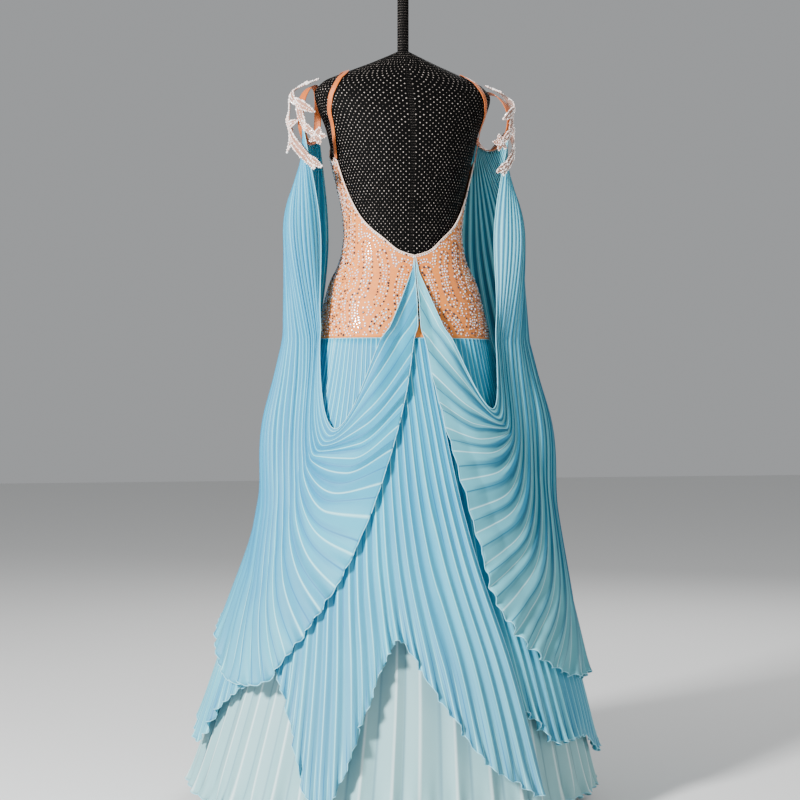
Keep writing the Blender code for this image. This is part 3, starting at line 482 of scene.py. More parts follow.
def with_values(obj, name, values):
    """Keeps one more value a point, for a material to read."""
    layer = obj.data.attributes.new(name, "FLOAT", "POINT")
    layer.data.foreach_set("value", np.asarray(values, np.float32).ravel())
    return obj


def grid_faces(rows, columns, closed=False, flip=False):
    i, j = np.meshgrid(np.arange(rows - 1), np.arange(columns if closed else columns - 1), indexing="ij")
    k = (j + 1) % columns
    corners = [i * columns + j, i * columns + k, (i + 1) * columns + k, (i + 1) * columns + j]
    faces = np.stack(corners, -1).reshape(-1, 4)
    return (faces[:, ::-1] if flip else faces).tolist()


def sheet_object(name, points, folds=None, closed=False, flip=False, thickness=SHELL):
    """A thin piece of cloth through a grid of points, whose rows run up the piece."""
    rows, columns = points.shape[:2]
    across = np.zeros((rows, columns))
    across[:, 1:] = np.cumsum(np.linalg.norm(np.diff(points, axis=1), axis=2), axis=1)
    along = np.zeros((rows, columns))
    along[1:] = np.cumsum(np.linalg.norm(np.diff(points, axis=0), axis=2), axis=0)
    uvs = np.stack([across, along], -1).reshape(-1, 2)
    folds = None if folds is None else (folds + 1) / 2
    obj = mesh_object(name, points.reshape(-1, 3), grid_faces(rows, columns, closed, flip), folds, uvs)
    wall = obj.modifiers.new("wall", "SOLIDIFY")
    wall.thickness = thickness
    wall.offset = 1
    return obj


def tube(points, radius, sides=6, closed=False):
    """Points and faces of a round cord through a line of points, with capped ends."""
    points = np.asarray(points, float)
    along = unit(np.roll(points, -1, 0) - np.roll(points, 1, 0)) if closed else unit(np.gradient(points, axis=0))
    helper = np.where(np.abs(along[:, 2:3]) > 0.9, [[1.0, 0, 0]], [[0, 0, 1.0]])
    side = unit(np.cross(along, helper))
    over = np.cross(side, along)
    turns = np.arange(sides) * math.tau / sides
    ring = side[:, None] * np.cos(turns)[None, :, None] + over[:, None] * np.sin(turns)[None, :, None]
    made = (points[:, None] + ring * np.reshape(radius, (-1, 1, 1))).reshape(-1, 3)
    count = len(points)
    faces = []
    for i in range(count if closed else count - 1):
        k = (i + 1) % count
        for j in range(sides):
            m = (j + 1) % sides
            faces.append([i * sides + j, k * sides + j, k * sides + m, i * sides + m])
    if not closed:
        faces.append(list(range(sides)))
        faces.append([(count - 1) * sides + j for j in range(sides)][::-1])
    return made, faces


def joined(parts):
    """One list of points and one of faces from several."""
    points, faces, start = [], [], 0
    for made, made_faces in parts:
        points.append(made)
        faces += [[start + i for i in face] for face in made_faces]
        start += len(made)
    return np.concatenate(points), faces


def ball(rings=4, sides=7):
    """Points and faces of a small round bead of radius 1."""
    points, faces = [(0, 0, 1.0)], []
    for r in range(1, rings):
        tilt = math.pi * r / rings
        for s in range(sides):
            turn = math.tau * s / sides
            points.append((math.sin(tilt) * math.cos(turn), math.sin(tilt) * math.sin(turn), math.cos(tilt)))
    points.append((0, 0, -1.0))
    last = len(points) - 1
    for s in range(sides):
        n = (s + 1) % sides
        faces.append([0, 1 + s, 1 + n])
        for r in range(rings - 2):
            a, b = 1 + r * sides, 1 + (r + 1) * sides
            faces.append([a + s, b + s, b + n, a + n])
        faces.append([1 + (rings - 2) * sides + s, last, 1 + (rings - 2) * sides + n])
    return np.array(points), faces


def cut_stone(sides=6):
    """Points and faces of a faceted stone of radius 1 and height 1 on its flat back."""
    turns = np.arange(sides) * math.tau / sides
    rings = [(1.0, 0.0), (1.0, 0.25), (0.55, 1.0)]
    points = np.array([(r * math.cos(t), r * math.sin(t), z) for r, z in rings for t in turns])
    faces = [list(range(sides))[::-1]]
    for ring in range(len(rings) - 1):
        for s in range(sides):
            n = (s + 1) % sides
            a, b = ring * sides, (ring + 1) * sides
            faces.append([a + s, a + n, b + n, b + s])
    faces.append([(len(rings) - 1) * sides + s for s in range(sides)])
    return points, faces


def scattered(name, shape, places, normals, radii, heights, shades, smooth_shading):
    """Many small copies of a shape as one object, each standing on its place."""
    points, faces = shape
    count = len(points)
    helper = np.where(np.abs(normals[:, 2:3]) > 0.9, [[1.0, 0, 0]], [[0, 0, 1.0]])
    side = unit(np.cross(helper, normals))
    over = np.cross(normals, side)
    made = (
        places[:, None]
        + side[:, None] * points[None, :, 0:1] * radii[:, None, None]
        + over[:, None] * points[None, :, 1:2] * radii[:, None, None]
        + normals[:, None] * points[None, :, 2:3] * heights[:, None, None]
    ).reshape(-1, 3)
    all_faces = [[start + i for i in face] for start in range(0, len(places) * count, count) for face in faces]
    obj = mesh_object(name, made, all_faces, np.repeat(shades, count), None, smooth_shading)
    return with_values(obj, "rim", np.tile(np.hypot(points[:, 0], points[:, 1]), len(places)))


# Materials.

def new_material(name):
    material = bpy.data.materials.new(name)
    material.use_nodes = True
    tree = material.node_tree
    return material, tree, tree.nodes["Principled BSDF"]


def node(tree, kind, **inputs):
    made = tree.nodes.new(kind)
    for key, value in inputs.items():
        made.inputs[key.replace("_", " ")].default_value = value
    return made


def mixed_colour(tree, factor, first, second):
    """A colour between two, which may be sockets or plain colours."""
    made = tree.nodes.new("ShaderNodeMix")
    made.data_type = "RGBA"
    tree.links.new(factor, made.inputs["Factor"])
    for key, value in (("A", first), ("B", second)):
        socket = [s for s in made.inputs if s.name == key and s.type == "RGBA"][0]
        if isinstance(value, bpy.types.NodeSocket):
            tree.links.new(value, socket)
        else:
            socket.default_value = (*value, 1)
    return [s for s in made.outputs if s.type == "RGBA"][0]


def ramped(tree, socket, *stops):
    """A value through a ramp whose stops are pairs of place and value."""
    made = tree.nodes.new("ShaderNodeValToRGB")
    elements = made.color_ramp.elements
    while len(elements) < len(stops):
        elements.new(0.5)
    for element, (place, value) in zip(elements, stops):
        element.position = place
        element.color = (value, value, value, 1)
    tree.links.new(socket, made.inputs["Fac"])
    return made.outputs["Color"]


def weave_height(tree, across, along):
    """The relief of a plain weave, with so many threads a metre each way."""
    place = node(tree, "ShaderNodeUVMap")
    place.uv_map = "cloth"
    waves = []
    for direction, count in (("X", across), ("Y", along)):
        wave = node(tree, "ShaderNodeTexWave", Scale=count / 10, Distortion=1.2, Detail=1.0)
        wave.bands_direction = direction
        tree.links.new(place.outputs["UV"], wave.inputs["Vector"])
        waves.append(wave.outputs["Fac"])
    both = tree.nodes.new("ShaderNodeMath")
    both.operation = "ADD"
    for socket, wave in zip(both.inputs, waves):
        tree.links.new(wave, socket)
    return both.outputs["Value"]


def bumped(tree, shader, height, strength, distance):
    bump = node(tree, "ShaderNodeBump", Strength=strength, Distance=distance)
    tree.links.new(height, bump.inputs["Height"])
    tree.links.new(bump.outputs["Normal"], shader.inputs["Normal"])
    return bump.outputs["Normal"]


def chiffon(name, deep, middle, pale, sheer, crease, crest):
    """Sheer pleated chiffon, with painted shade in its folds, partly for its overlapping layers, and a pale painted
    highlight along each crest.
    """
    material, tree, shader = new_material(name)
    fold = node(tree, "ShaderNodeAttribute")
    fold.attribute_name = "fold"
    place = node(tree, "ShaderNodeTexCoord")
    cloud = node(tree, "ShaderNodeTexNoise", Scale=6.0, Detail=3.0, Roughness=0.55)
    tree.links.new(place.outputs["Object"], cloud.inputs["Vector"])
    tone_and_painted_shade = mixed_colour(tree, ramped(tree, cloud.outputs["Fac"], (0.3, 0.0), (0.7, 1.0)), middle,
                        tuple(0.6 * m + 0.4 * d for m, d in zip(middle, deep)))
    # Painted shade: the troughs of the pleats go towards the deep colour, partly for the overlapping layers there.
    fold_shade = ramped(tree, fold.outputs["Fac"], (0.0, 0.0), (crease, 0.9), (1.0, 1.0))
    # Painted highlight: a thin pale line along each crest.
    crest_highlight = ramped(tree, fold.outputs["Fac"], (crest, 0.0), (0.99, 0.95))
    # Low down the pale layer under it shows through.
    parts = tree.nodes.new("ShaderNodeSeparateXYZ")
    tree.links.new(place.outputs["Object"], parts.inputs["Vector"])
    tone_and_painted_shade = mixed_colour(tree, ramped(tree, parts.outputs["Z"], (0.06, 0.55), (0.60, 0.0)), tone_and_painted_shade, WASHED)
    # Painted shade: the crescents and zones kept in a float's points darken it towards the deep colour; on the
    # overskirt the same values give its shallower pleats a deeper tone.
    shade_and_tone = node(tree, "ShaderNodeAttribute")
    shade_and_tone.attribute_name = "shade_and_tone"
    tone_and_painted_shade = mixed_colour(tree, ramped(tree, shade_and_tone.outputs["Fac"], (0.05, 0.0), (0.9, 0.95)), tone_and_painted_shade, deep)
    colour = mixed_colour(tree, fold_shade, deep, tone_and_painted_shade)
    colour = mixed_colour(tree, crest_highlight, colour, pale)
    shader.inputs["Roughness"].default_value = 0.55
    shader.inputs["Sheen Weight"].default_value = 0.15
    shader.inputs["Sheen Roughness"].default_value = 0.4
    tree.links.new(colour, shader.inputs["Base Color"])
    normal = bumped(tree, shader, weave_height(tree, 1600, 1600), 0.25, 0.0002)
    through = tree.nodes.new("ShaderNodeBsdfTranslucent")
    tree.links.new(colour, through.inputs["Color"])
    tree.links.new(normal, through.inputs["Normal"])
    lit = node(tree, "ShaderNodeMixShader", Fac=GLOW)
    tree.links.new(shader.outputs["BSDF"], lit.inputs[1])
    tree.links.new(through.outputs["BSDF"], lit.inputs[2])
    clear = tree.nodes.new("ShaderNodeBsdfTransparent")
    seen = node(tree, "ShaderNodeMixShader", Fac=1 - sheer)
    tree.links.new(clear.outputs["BSDF"], seen.inputs[1])
    tree.links.new(lit.outputs["Shader"], seen.inputs[2])
    output = tree.nodes["Material Output"]
    tree.links.new(seen.outputs["Shader"], output.inputs["Surface"])
    return material


def woven(name, colour, shadow, threads, roughness):
    """A close elastic or mesh, with its rows of thread."""
    material, tree, shader = new_material(name)
    place = node(tree, "ShaderNodeTexCoord")
    cloud = node(tree, "ShaderNodeTexNoise", Scale=40.0, Detail=4.0)
    tree.links.new(place.outputs["Object"], cloud.inputs["Vector"])
    base = mixed_colour(tree, ramped(tree, cloud.outputs["Fac"], (0.25, 0.0), (0.75, 1.0)), shadow, colour)
    tree.links.new(base, shader.inputs["Base Color"])
    shader.inputs["Roughness"].default_value = roughness
    shader.inputs["Sheen Weight"].default_value = 0.2
    bumped(tree, shader, weave_height(tree, threads, threads * 0.6), 0.5, 0.0003)
    return material


def crystal(name):
    """Cut stones with a pearly coat, each with its own tint."""
    material, tree, shader = new_material(name)
    shade = node(tree, "ShaderNodeAttribute")
    shade.attribute_name = "fold"
    ramp = tree.nodes.new("ShaderNodeValToRGB")
    ramp.color_ramp.interpolation = "CONSTANT"
    # The near-black tint, from 0.84 up, is painted shade for the dark gaps between the bright stones.
    stops = (
        (0.0, (1.0, 0.98, 0.98)), (0.45, (1.0, 0.78, 0.82)), (0.66, (0.62, 0.86, 0.94)),
        (0.74, (1.0, 0.88, 0.70)), (0.84, (0.03, 0.02, 0.03)),
    )
    elements = ramp.color_ramp.elements
    while len(elements) < len(stops):
        elements.new(0.5)
    for element, (at, tint) in zip(elements, stops):
        element.position = at
        element.color = (*tint, 1)
    tree.links.new(shade.outputs["Fac"], ramp.inputs["Fac"])
    # Painted reflection: the slanting facets at a stone's rim are painted near black, as if they mirrored a dark room.
    rim = node(tree, "ShaderNodeAttribute")
    rim.attribute_name = "rim"
    painted_rim_reflection = ramped(tree, rim.outputs["Fac"], (0.62, 0.0), (0.95, 0.85))
    tree.links.new(mixed_colour(tree, painted_rim_reflection, ramp.outputs["Color"], (0.05, 0.03, 0.03)),
                   shader.inputs["Base Color"])
    shader.inputs["Metallic"].default_value = 0.1
    shader.inputs["Roughness"].default_value = 0.2
    shader.inputs["Coat Weight"].default_value = 0.6
    shader.inputs["Coat Roughness"].default_value = 0.05
    return material


def pearl(name):
    material, tree, shader = new_material(name)
    shade = node(tree, "ShaderNodeAttribute")
    shade.attribute_name = "fold"
    colour = mixed_colour(tree, shade.outputs["Fac"], (1.0, 0.97, 0.94), (0.95, 0.62, 0.52))
    tree.links.new(colour, shader.inputs["Base Color"])
    shader.inputs["Roughness"].default_value = 0.18
    shader.inputs["Coat Weight"].default_value = 0.5
    shader.inputs["Sheen Weight"].default_value = 0.2
    return material


def lace_thread(name):
    """Satin stitch lace with fine slanting threads."""
    material, tree, shader = new_material(name)
    place = node(tree, "ShaderNodeTexCoord")
    thread = node(tree, "ShaderNodeTexWave", Scale=420.0, Distortion=2.0, Detail=2.0)
    tree.links.new(place.outputs["Object"], thread.inputs["Vector"])
    cloud = node(tree, "ShaderNodeTexNoise", Scale=120.0, Detail=3.0)
    tree.links.new(place.outputs["Object"], cloud.inputs["Vector"])
    # The thread is a dark brown, deeper than the nude lace's own colour, as painted shade in the gaps between the
    # pearls; the noise varies its tone at random.
    colour = mixed_colour(tree, cloud.outputs["Fac"], (0.42, 0.19, 0.11), (0.24, 0.09, 0.05))
    tree.links.new(colour, shader.inputs["Base Color"])
    shader.inputs["Roughness"].default_value = 0.5
    shader.inputs["Sheen Weight"].default_value = 0.4
    bumped(tree, shader, thread.outputs["Fac"], 0.5, 0.0004)
    return material


def net_cover(name):
    """A smooth black shell under a black net whose knots catch the light."""
    material, tree, shader = new_material(name)
    place = node(tree, "ShaderNodeUVMap")
    place.uv_map = "cloth"
    turned = node(tree, "ShaderNodeMapping", Rotation=(0, 0, math.radians(45)), Scale=(135, 135, 135))
    tree.links.new(place.outputs["UV"], turned.inputs["Vector"])
    knots = node(tree, "ShaderNodeTexVoronoi", Scale=1.0, Randomness=0.12)
    tree.links.new(turned.outputs["Vector"], knots.inputs["Vector"])
    knot = ramped(tree, knots.outputs["Distance"], (0.09, 1.0), (0.18, 0.0))
    patch = node(tree, "ShaderNodeTexNoise", Scale=90.0, Detail=2.0)
    tree.links.new(place.outputs["UV"], patch.inputs["Vector"])
    lit = tree.nodes.new("ShaderNodeMath")
    lit.operation = "MULTIPLY"
    tree.links.new(knot, lit.inputs[0])
    tree.links.new(ramped(tree, patch.outputs["Fac"], (0.35, 0.25), (0.6, 1.0)), lit.inputs[1])
    colour = mixed_colour(tree, lit.outputs["Value"], (0.0012, 0.0011, 0.0011), (0.48, 0.42, 0.38))
    tree.links.new(colour, shader.inputs["Base Color"])
    shader.inputs["Roughness"].default_value = 0.75
    shader.inputs["Specular IOR Level"].default_value = 0.06
    bumped(tree, shader, knot, 0.6, 0.0008)
    return material


def painted_metal(name):
    material, tree, shader = new_material(name)
    place = node(tree, "ShaderNodeTexCoord")
    grain = node(tree, "ShaderNodeTexNoise", Scale=260.0, Detail=3.0)
    tree.links.new(place.outputs["Object"], grain.inputs["Vector"])
    colour = mixed_colour(tree, grain.outputs["Fac"], (0.035, 0.035, 0.037), (0.060, 0.060, 0.062))
    tree.links.new(colour, shader.inputs["Base Color"])
    shader.inputs["Metallic"].default_value = 0.3
    shader.inputs["Roughness"].default_value = 0.38
    bumped(tree, shader, grain.outputs["Fac"], 0.2, 0.0002)
    return material


# Pieces.

def rolled_edge(name, edges, material):
    """The rolled, overlocked edge of a piece of cloth, as a fine cord along each of its edges."""
    points, faces = joined([tube(edge, HEM_ROLL) for edge in edges])
    return finished(mesh_object(name, points, faces), material)


def frilled(points, reach_rows, seed, calm_above=ABOVE_ALL):
    """Waves the last rows of a grid, whose first row is the hem, as a rolled edge does."""
    hem = points[0]
    calm = np.clip((calm_above - hem[:, 2]) / FRILL_FADE, FRILL_LEAST, 1)
    run = np.concatenate([[0], np.cumsum(np.linalg.norm(np.diff(hem, axis=0), axis=1))])
    rng = np.random.default_rng(seed)
    drift = np.interp(run, np.linspace(0, run[-1], 14), rng.uniform(-1.5, 1.5, 14))
    size = np.interp(run, np.linspace(0, run[-1], 18), rng.uniform(0.5, 1.2, 18))
    wave = np.sin(run * math.tau / HEM_WAVE + drift) * size
    rise = np.cos(run * math.tau / HEM_WAVE + drift) * size
    normals = surface_normals(points)
    for row in range(reach_rows):
        away = np.linalg.norm(points[row] - hem, axis=1)
        fade = np.exp(-away / HEM_WAVE_REACH)
        points[row] += normals[row] * (wave * calm * fade * HEM_WAVE_HEIGHT)[:, None]
        points[row, :, 2] += rise * calm * fade * HEM_WAVE_RISE
    return points


def row_shares(count):
    """Shares of the way down a panel, closer together near the hem."""
    t = np.linspace(0, 1, count)
    return 1 - (1 - t) ** 1.25


def build_overskirt(material, edge_material):
    panels = (
        ("overskirt_back", "back_left", "back_right", BACK_PANEL_HEM, 0, BACK_PANEL_PLEATS, 1),
        ("overskirt_front", "front_right", "front_left", FRONT_PANEL_HEM, 360, FRONT_PANEL_PLEATS, 3),
    )
    for name, first, last, hem, turn, pleats, fade in panels:
        top_start = looked_up(SLITS, "height", first, HIP_SEAM_HEIGHT)
        top_end = looked_up(SLITS, "height", last, HIP_SEAM_HEIGHT) + turn
        count = np.linspace(0, 2 * pleats, PLEAT_POINTS * pleats + 1)[None, :]
        share = row_shares(PANEL_ROWS)[:, None]
        placed, size = uneven(count, pleats)
        across = placed / (2 * pleats)
        height = np.full((PANEL_ROWS, across.shape[1]), HIP_SEAM_HEIGHT)
        for _ in range(HEM_ROUNDS):
            start = looked_up(SLITS, "height", first, height)
            end = looked_up(SLITS, "height", last, height) + turn
            angle = top_start + (top_end - top_start) * across
            angle = angle + (start - top_start) * (1 - across) ** fade
            angle = angle + (end - top_end) * across ** fade
            height = HIP_SEAM_HEIGHT - share * (HIP_SEAM_HEIGHT - looked_up(hem, "angle", "height", angle))
        if name == "overskirt_back":
            raised = PANEL_LIFT * panel_share(height)
        else:
            edge = np.minimum(angle - start, end - angle) / PANEL_DIP_ANGLE
            raised = -PANEL_DIP * panel_share(height) * np.clip(1 - edge, 0, None)
        # Every other narrow pleat opens out on the way down, so the lines are half as many at the hem.
        opened = np.clip((OPENING_TOP - height) / OPENING_FADE, 0, 1)
        fold = opened * pleat(count) - (1 - opened) * pleat(2 * count)
        depth = pleat_depth(height, OVERSKIRT_DEPTH_TOP, OVERSKIRT_DEPTH_HEM) * size
        relief = SKIRT_COARSE * pleat(count) + SKIRT_FINE * fold
        points = off_skirt(angle, height, raised + relief * depth)[::-1].copy()
        points = frilled(points, PANEL_FRILL_ROWS, 3 if turn else 5)
        folds = np.broadcast_to(fold, height.shape)
        made = with_values(sheet_object(name + "_cloth", points, folds), "shade_and_tone", (1 - size) + 0 * height)
        cloth = finished(made, material, [name])
        lines = [points[0], points[:, 0], points[:, -1], points[-1]]
        edges = rolled_edge(name + "_hem", lines, edge_material)


def build_underskirt(material, edge_material):
    top = HIP_SEAM_HEIGHT - UNDERSKIRT_DROP
    for name, middle, seed in (("underskirt_back", 0, 7), ("underskirt_front", 180, 8)):
        columns = UNDERSKIRT_PLEATS * PLEAT_POINTS
        count = np.linspace(0, UNDERSKIRT_PLEATS, columns + 1)[None, :]
        placed, size = uneven(count, seed)
        angle = middle - 89.9 + 179.8 * placed / UNDERSKIRT_PLEATS
        share = row_shares(PANEL_ROWS)[:, None]
        height = (top - share * (top - HEM_HEIGHT)) + 0 * angle
        depth = pleat_depth(height, UNDERSKIRT_DEPTH_TOP, UNDERSKIRT_DEPTH_HEM)
        inset = smooth([r.share for r in UNDERSKIRT_ROWS], [r.inset for r in UNDERSKIRT_ROWS], share)
        fold = pleat(count)
        relief = UNDERSKIRT_RELIEF * fold * depth * size
        points = off_skirt(angle + 0 * height, height, relief - inset)[::-1].copy()
        points = frilled(points, PANEL_FRILL_ROWS, seed)
        folds = np.broadcast_to(fold, height.shape)
        cloth = finished(sheet_object(name + "_cloth", points, folds), material, [name])
        edges = rolled_edge(name + "_hem", [points[0]], edge_material)


def armband_frame(side, angle):
    turn = np.radians(np.asarray(angle, float))
    back = unit(np.array(ARMBAND_BACK))
    at_top = np.clip(np.cos(turn), 0, None) ** 2
    point = np.array(ARMBAND_CENTRE) + back * (ARMBAND_HALF_DEPTH * np.sin(turn))[..., None]
    point[..., 2] += ARMBAND_HALF_HEIGHT * np.cos(turn)
    point[..., 0] -= ARMBAND_LEAN * at_top
    flat = np.broadcast_to(np.array([-back[1], back[0], 0]), point.shape).copy()
    flat[..., 2] = -ARMBAND_TILT * at_top
    across = unit(flat)
    out = back * (np.sin(turn) / ARMBAND_HALF_DEPTH)[..., None]
    out = out + np.array([0, 0, 1.0]) * (np.cos(turn) / ARMBAND_HALF_HEIGHT)[..., None]
    out = unit(out - across * np.sum(out * across, -1, keepdims=True))
    if side < 0:
        for vectors in (point, across, out):
            vectors[..., 0] *= -1
    return point, across, out


def build_armbands(material):
    for side, name in ((-1, "armband_left"), (1, "armband_right")):
        angles = np.linspace(0, 360, 96, endpoint=False)
        point, across, out = armband_frame(side, angles)
        # The elastic is gathered by its stitching into fine ripples.
        ripple = 0.00015 * np.sin(np.radians(angles) * 60)
        widths = np.linspace(-0.5, 0.5, 7) * ARMBAND_WIDTH
        rows = np.stack([point + across * w + out * ripple[:, None] for w in widths])
        obj = sheet_object(name + "_elastic", rows, closed=True, flip=side < 0, thickness=0.0012)
        band = finished(obj, material, [name])


def chart_of(x, y, z):
    """Angle and distance off the hips' upright side of points above the hip seam."""
    aim, reach = np.degrees(np.arctan2(x, -y)), np.hypot(x, y)
    angle, distance = aim.copy(), np.zeros_like(aim)
    for _ in range(CHART_ROUNDS):
        near = off_skirt(angle, z, distance)
        angle = angle + aim - np.degrees(np.arctan2(near[..., 0], -near[..., 1]))
        distance = distance + reach - np.hypot(near[..., 0], near[..., 1])
    return angle, distance


def least_offset(angle, height):
    """How far off the hips' side the cloth or form under a float reaches."""
    body = off_figure(angle, np.maximum(height, HIP_SEAM_HEIGHT), np.full_like(height, BODICE_EASE + CLOTH))
    hips = skirt(angle, height)
    over_body = np.hypot(body[..., 0], body[..., 1]) - np.hypot(hips[..., 0], hips[..., 1])
    beyond = np.maximum(looked_up(SLITS, "height", "back_left", height) - angle,
                        angle - looked_up(SLITS, "height", "back_right", height))
    over_panel = np.clip(1 - beyond / PANEL_DIP_ANGLE, 0, 1)
    pleats = pleat_depth(height, OVERSKIRT_DEPTH_TOP, OVERSKIRT_DEPTH_HEM)
    over_skirt = PANEL_LIFT * panel_share(height) * over_panel + pleats + CLOTH
    return np.where(height > HIP_SEAM_HEIGHT, over_body, over_skirt)


def build_floats(materials, edge_material):
    for side, name, guides, seed in ((-1, "float_left", LEFT_FLOAT, 21), (1, "float_right", RIGHT_FLOAT, 22)):
        count = np.linspace(0, 2 * FLOAT_PLEATS, FLOAT_PLEATS * FLOAT_POINTS + 1)
        placed, size = uneven(count, seed)
        share = placed / (2 * FLOAT_PLEATS)
        root_angle = FLOAT_ROOT_BACK + (FLOAT_ROOT_FRONT - FLOAT_ROOT_BACK) * share
        point, _, out = armband_frame(1, root_angle)
        root = point + out * (ARMBAND_THICKNESS + FLOAT_ROOT_GAP)
        column_x = looked_up(FLOAT_COLUMN, "share", "x", share)
        column_y = looked_up(FLOAT_COLUMN, "share", "y", share)
        column_z = np.full_like(share, FLOAT_COLUMN_HEIGHT)
        angles, offsets, heights = [], [], []
        for x, y, z in ((root[:, 0], root[:, 1], root[:, 2]), (column_x, column_y, column_z)):
            angle, distance = chart_of(x, y, z)
            angles.append(angle)
            offsets.append(distance)
            heights.append(z)
        for station in range(1, 5):
            angles.append(looked_up(guides, "share", f"a{station}", share))
            heights.append(looked_up(guides, "share", f"h{station}", share))
            offsets.append(looked_up(guides, "share", f"d{station}", share))
        places = np.arange(6)
        down = np.linspace(0, 5, FLOAT_ROWS)
        grid = [np.stack([smooth(places, [v[i] for v in values], down) for i in range(len(share))], 1)
                for values in (angles, heights, offsets)]
        angle, height, offset = grid
        fullness = np.clip(FLOAT_EDGE_FULLNESS + FLOAT_EDGE_RATE * share, None, 1)[None, :]
        depth = (FLOAT_DEPTH_TOP + (FLOAT_DEPTH_HEM - FLOAT_DEPTH_TOP) * down[:, None] / 5) * fullness
        least = least_offset(side * angle, height) + depth + FLOAT_CLEARANCE * fullness
        over_body = np.clip((height - HIP_SEAM_HEIGHT) / 0.02, 0, 1)
        raised = np.maximum(offset, least + STONE_CLEAR * over_body)
        lap = np.minimum(INNER_LAP * (1 - share) ** INNER_LAP_FALL, INNER_LAP_MOST * np.abs(angle))
        angle = angle - over_body * lap
        above = off_skirt(angle, height, raised) * np.array([side, 1, 1])
        below = off_skirt(side * angle, height, raised)
        base = np.where((height > HIP_SEAM_HEIGHT)[..., None], above, below)
        normals = surface_normals(base) * side
        # Each pleat has a wide flat face and a crescent of painted shade, which closes towards the hem.
        pressed = pleat(count)[None, :] * size
        soft = np.sin(np.pi * 0.5 * placed + 1.3 * np.sin(placed * 0.31 + seed))[None, :]
        relief = FLOAT_PRESSED * pressed + FLOAT_SOFT * soft
        points = base + normals * (relief * depth)[..., None]
        points = points[::-1].copy()
        points = frilled(points, FLOAT_FRILL_ROWS, seed, FRILL_TOP)
        folds = np.broadcast_to(pleat(count)[None, :], height.shape)
        open_share = np.clip((5 - down[:, None]) / CRESCENT_CLOSING, 0, 1)
        open_share = open_share ** CRESCENT_CLOSING_POWER
        reach = CRESCENT_LEAST + CRESCENT_WIDTH * open_share * size
        crescent = np.clip((reach - 0.5 - 0.5 * folds) / CRESCENT_EDGE + 1, 0, 1)
        crescent = crescent * open_share * CRESCENT[side]
        # Broad zones of painted shade, a few pleats wide, drift across the float.
        drift = ZONE_DRIFT * np.sin(placed * ZONE_DRIFT_RATE)
        zone = 0.5 + 0.5 * np.sin(math.tau * (placed / (2 * ZONE_PLEATS) + drift))
        crescent = np.maximum(crescent, ZONE[side] * zone[None, :])
        made = sheet_object(name + "_cloth", points, folds, flip=side > 0)
        with_values(made, "shade_and_tone", crescent[::-1])
        cloth = finished(made, materials[side], [name])
        edges = rolled_edge(name + "_hem", [points[0], points[:, 0], points[:, -1]], edge_material)


def neckline_height(angle):
    """The bodice's top edge at an angle from the centre back, from 0 to 180 on either side."""
    away = np.abs((np.asarray(angle, float) + 180) % 360 - 180)
    back = looked_up(BACK_NECKLINE, "angle", "height", away)
    front = looked_up(FRONT_NECKLINE, "angle", "height", away)
    return np.where(away < 90, back, front)


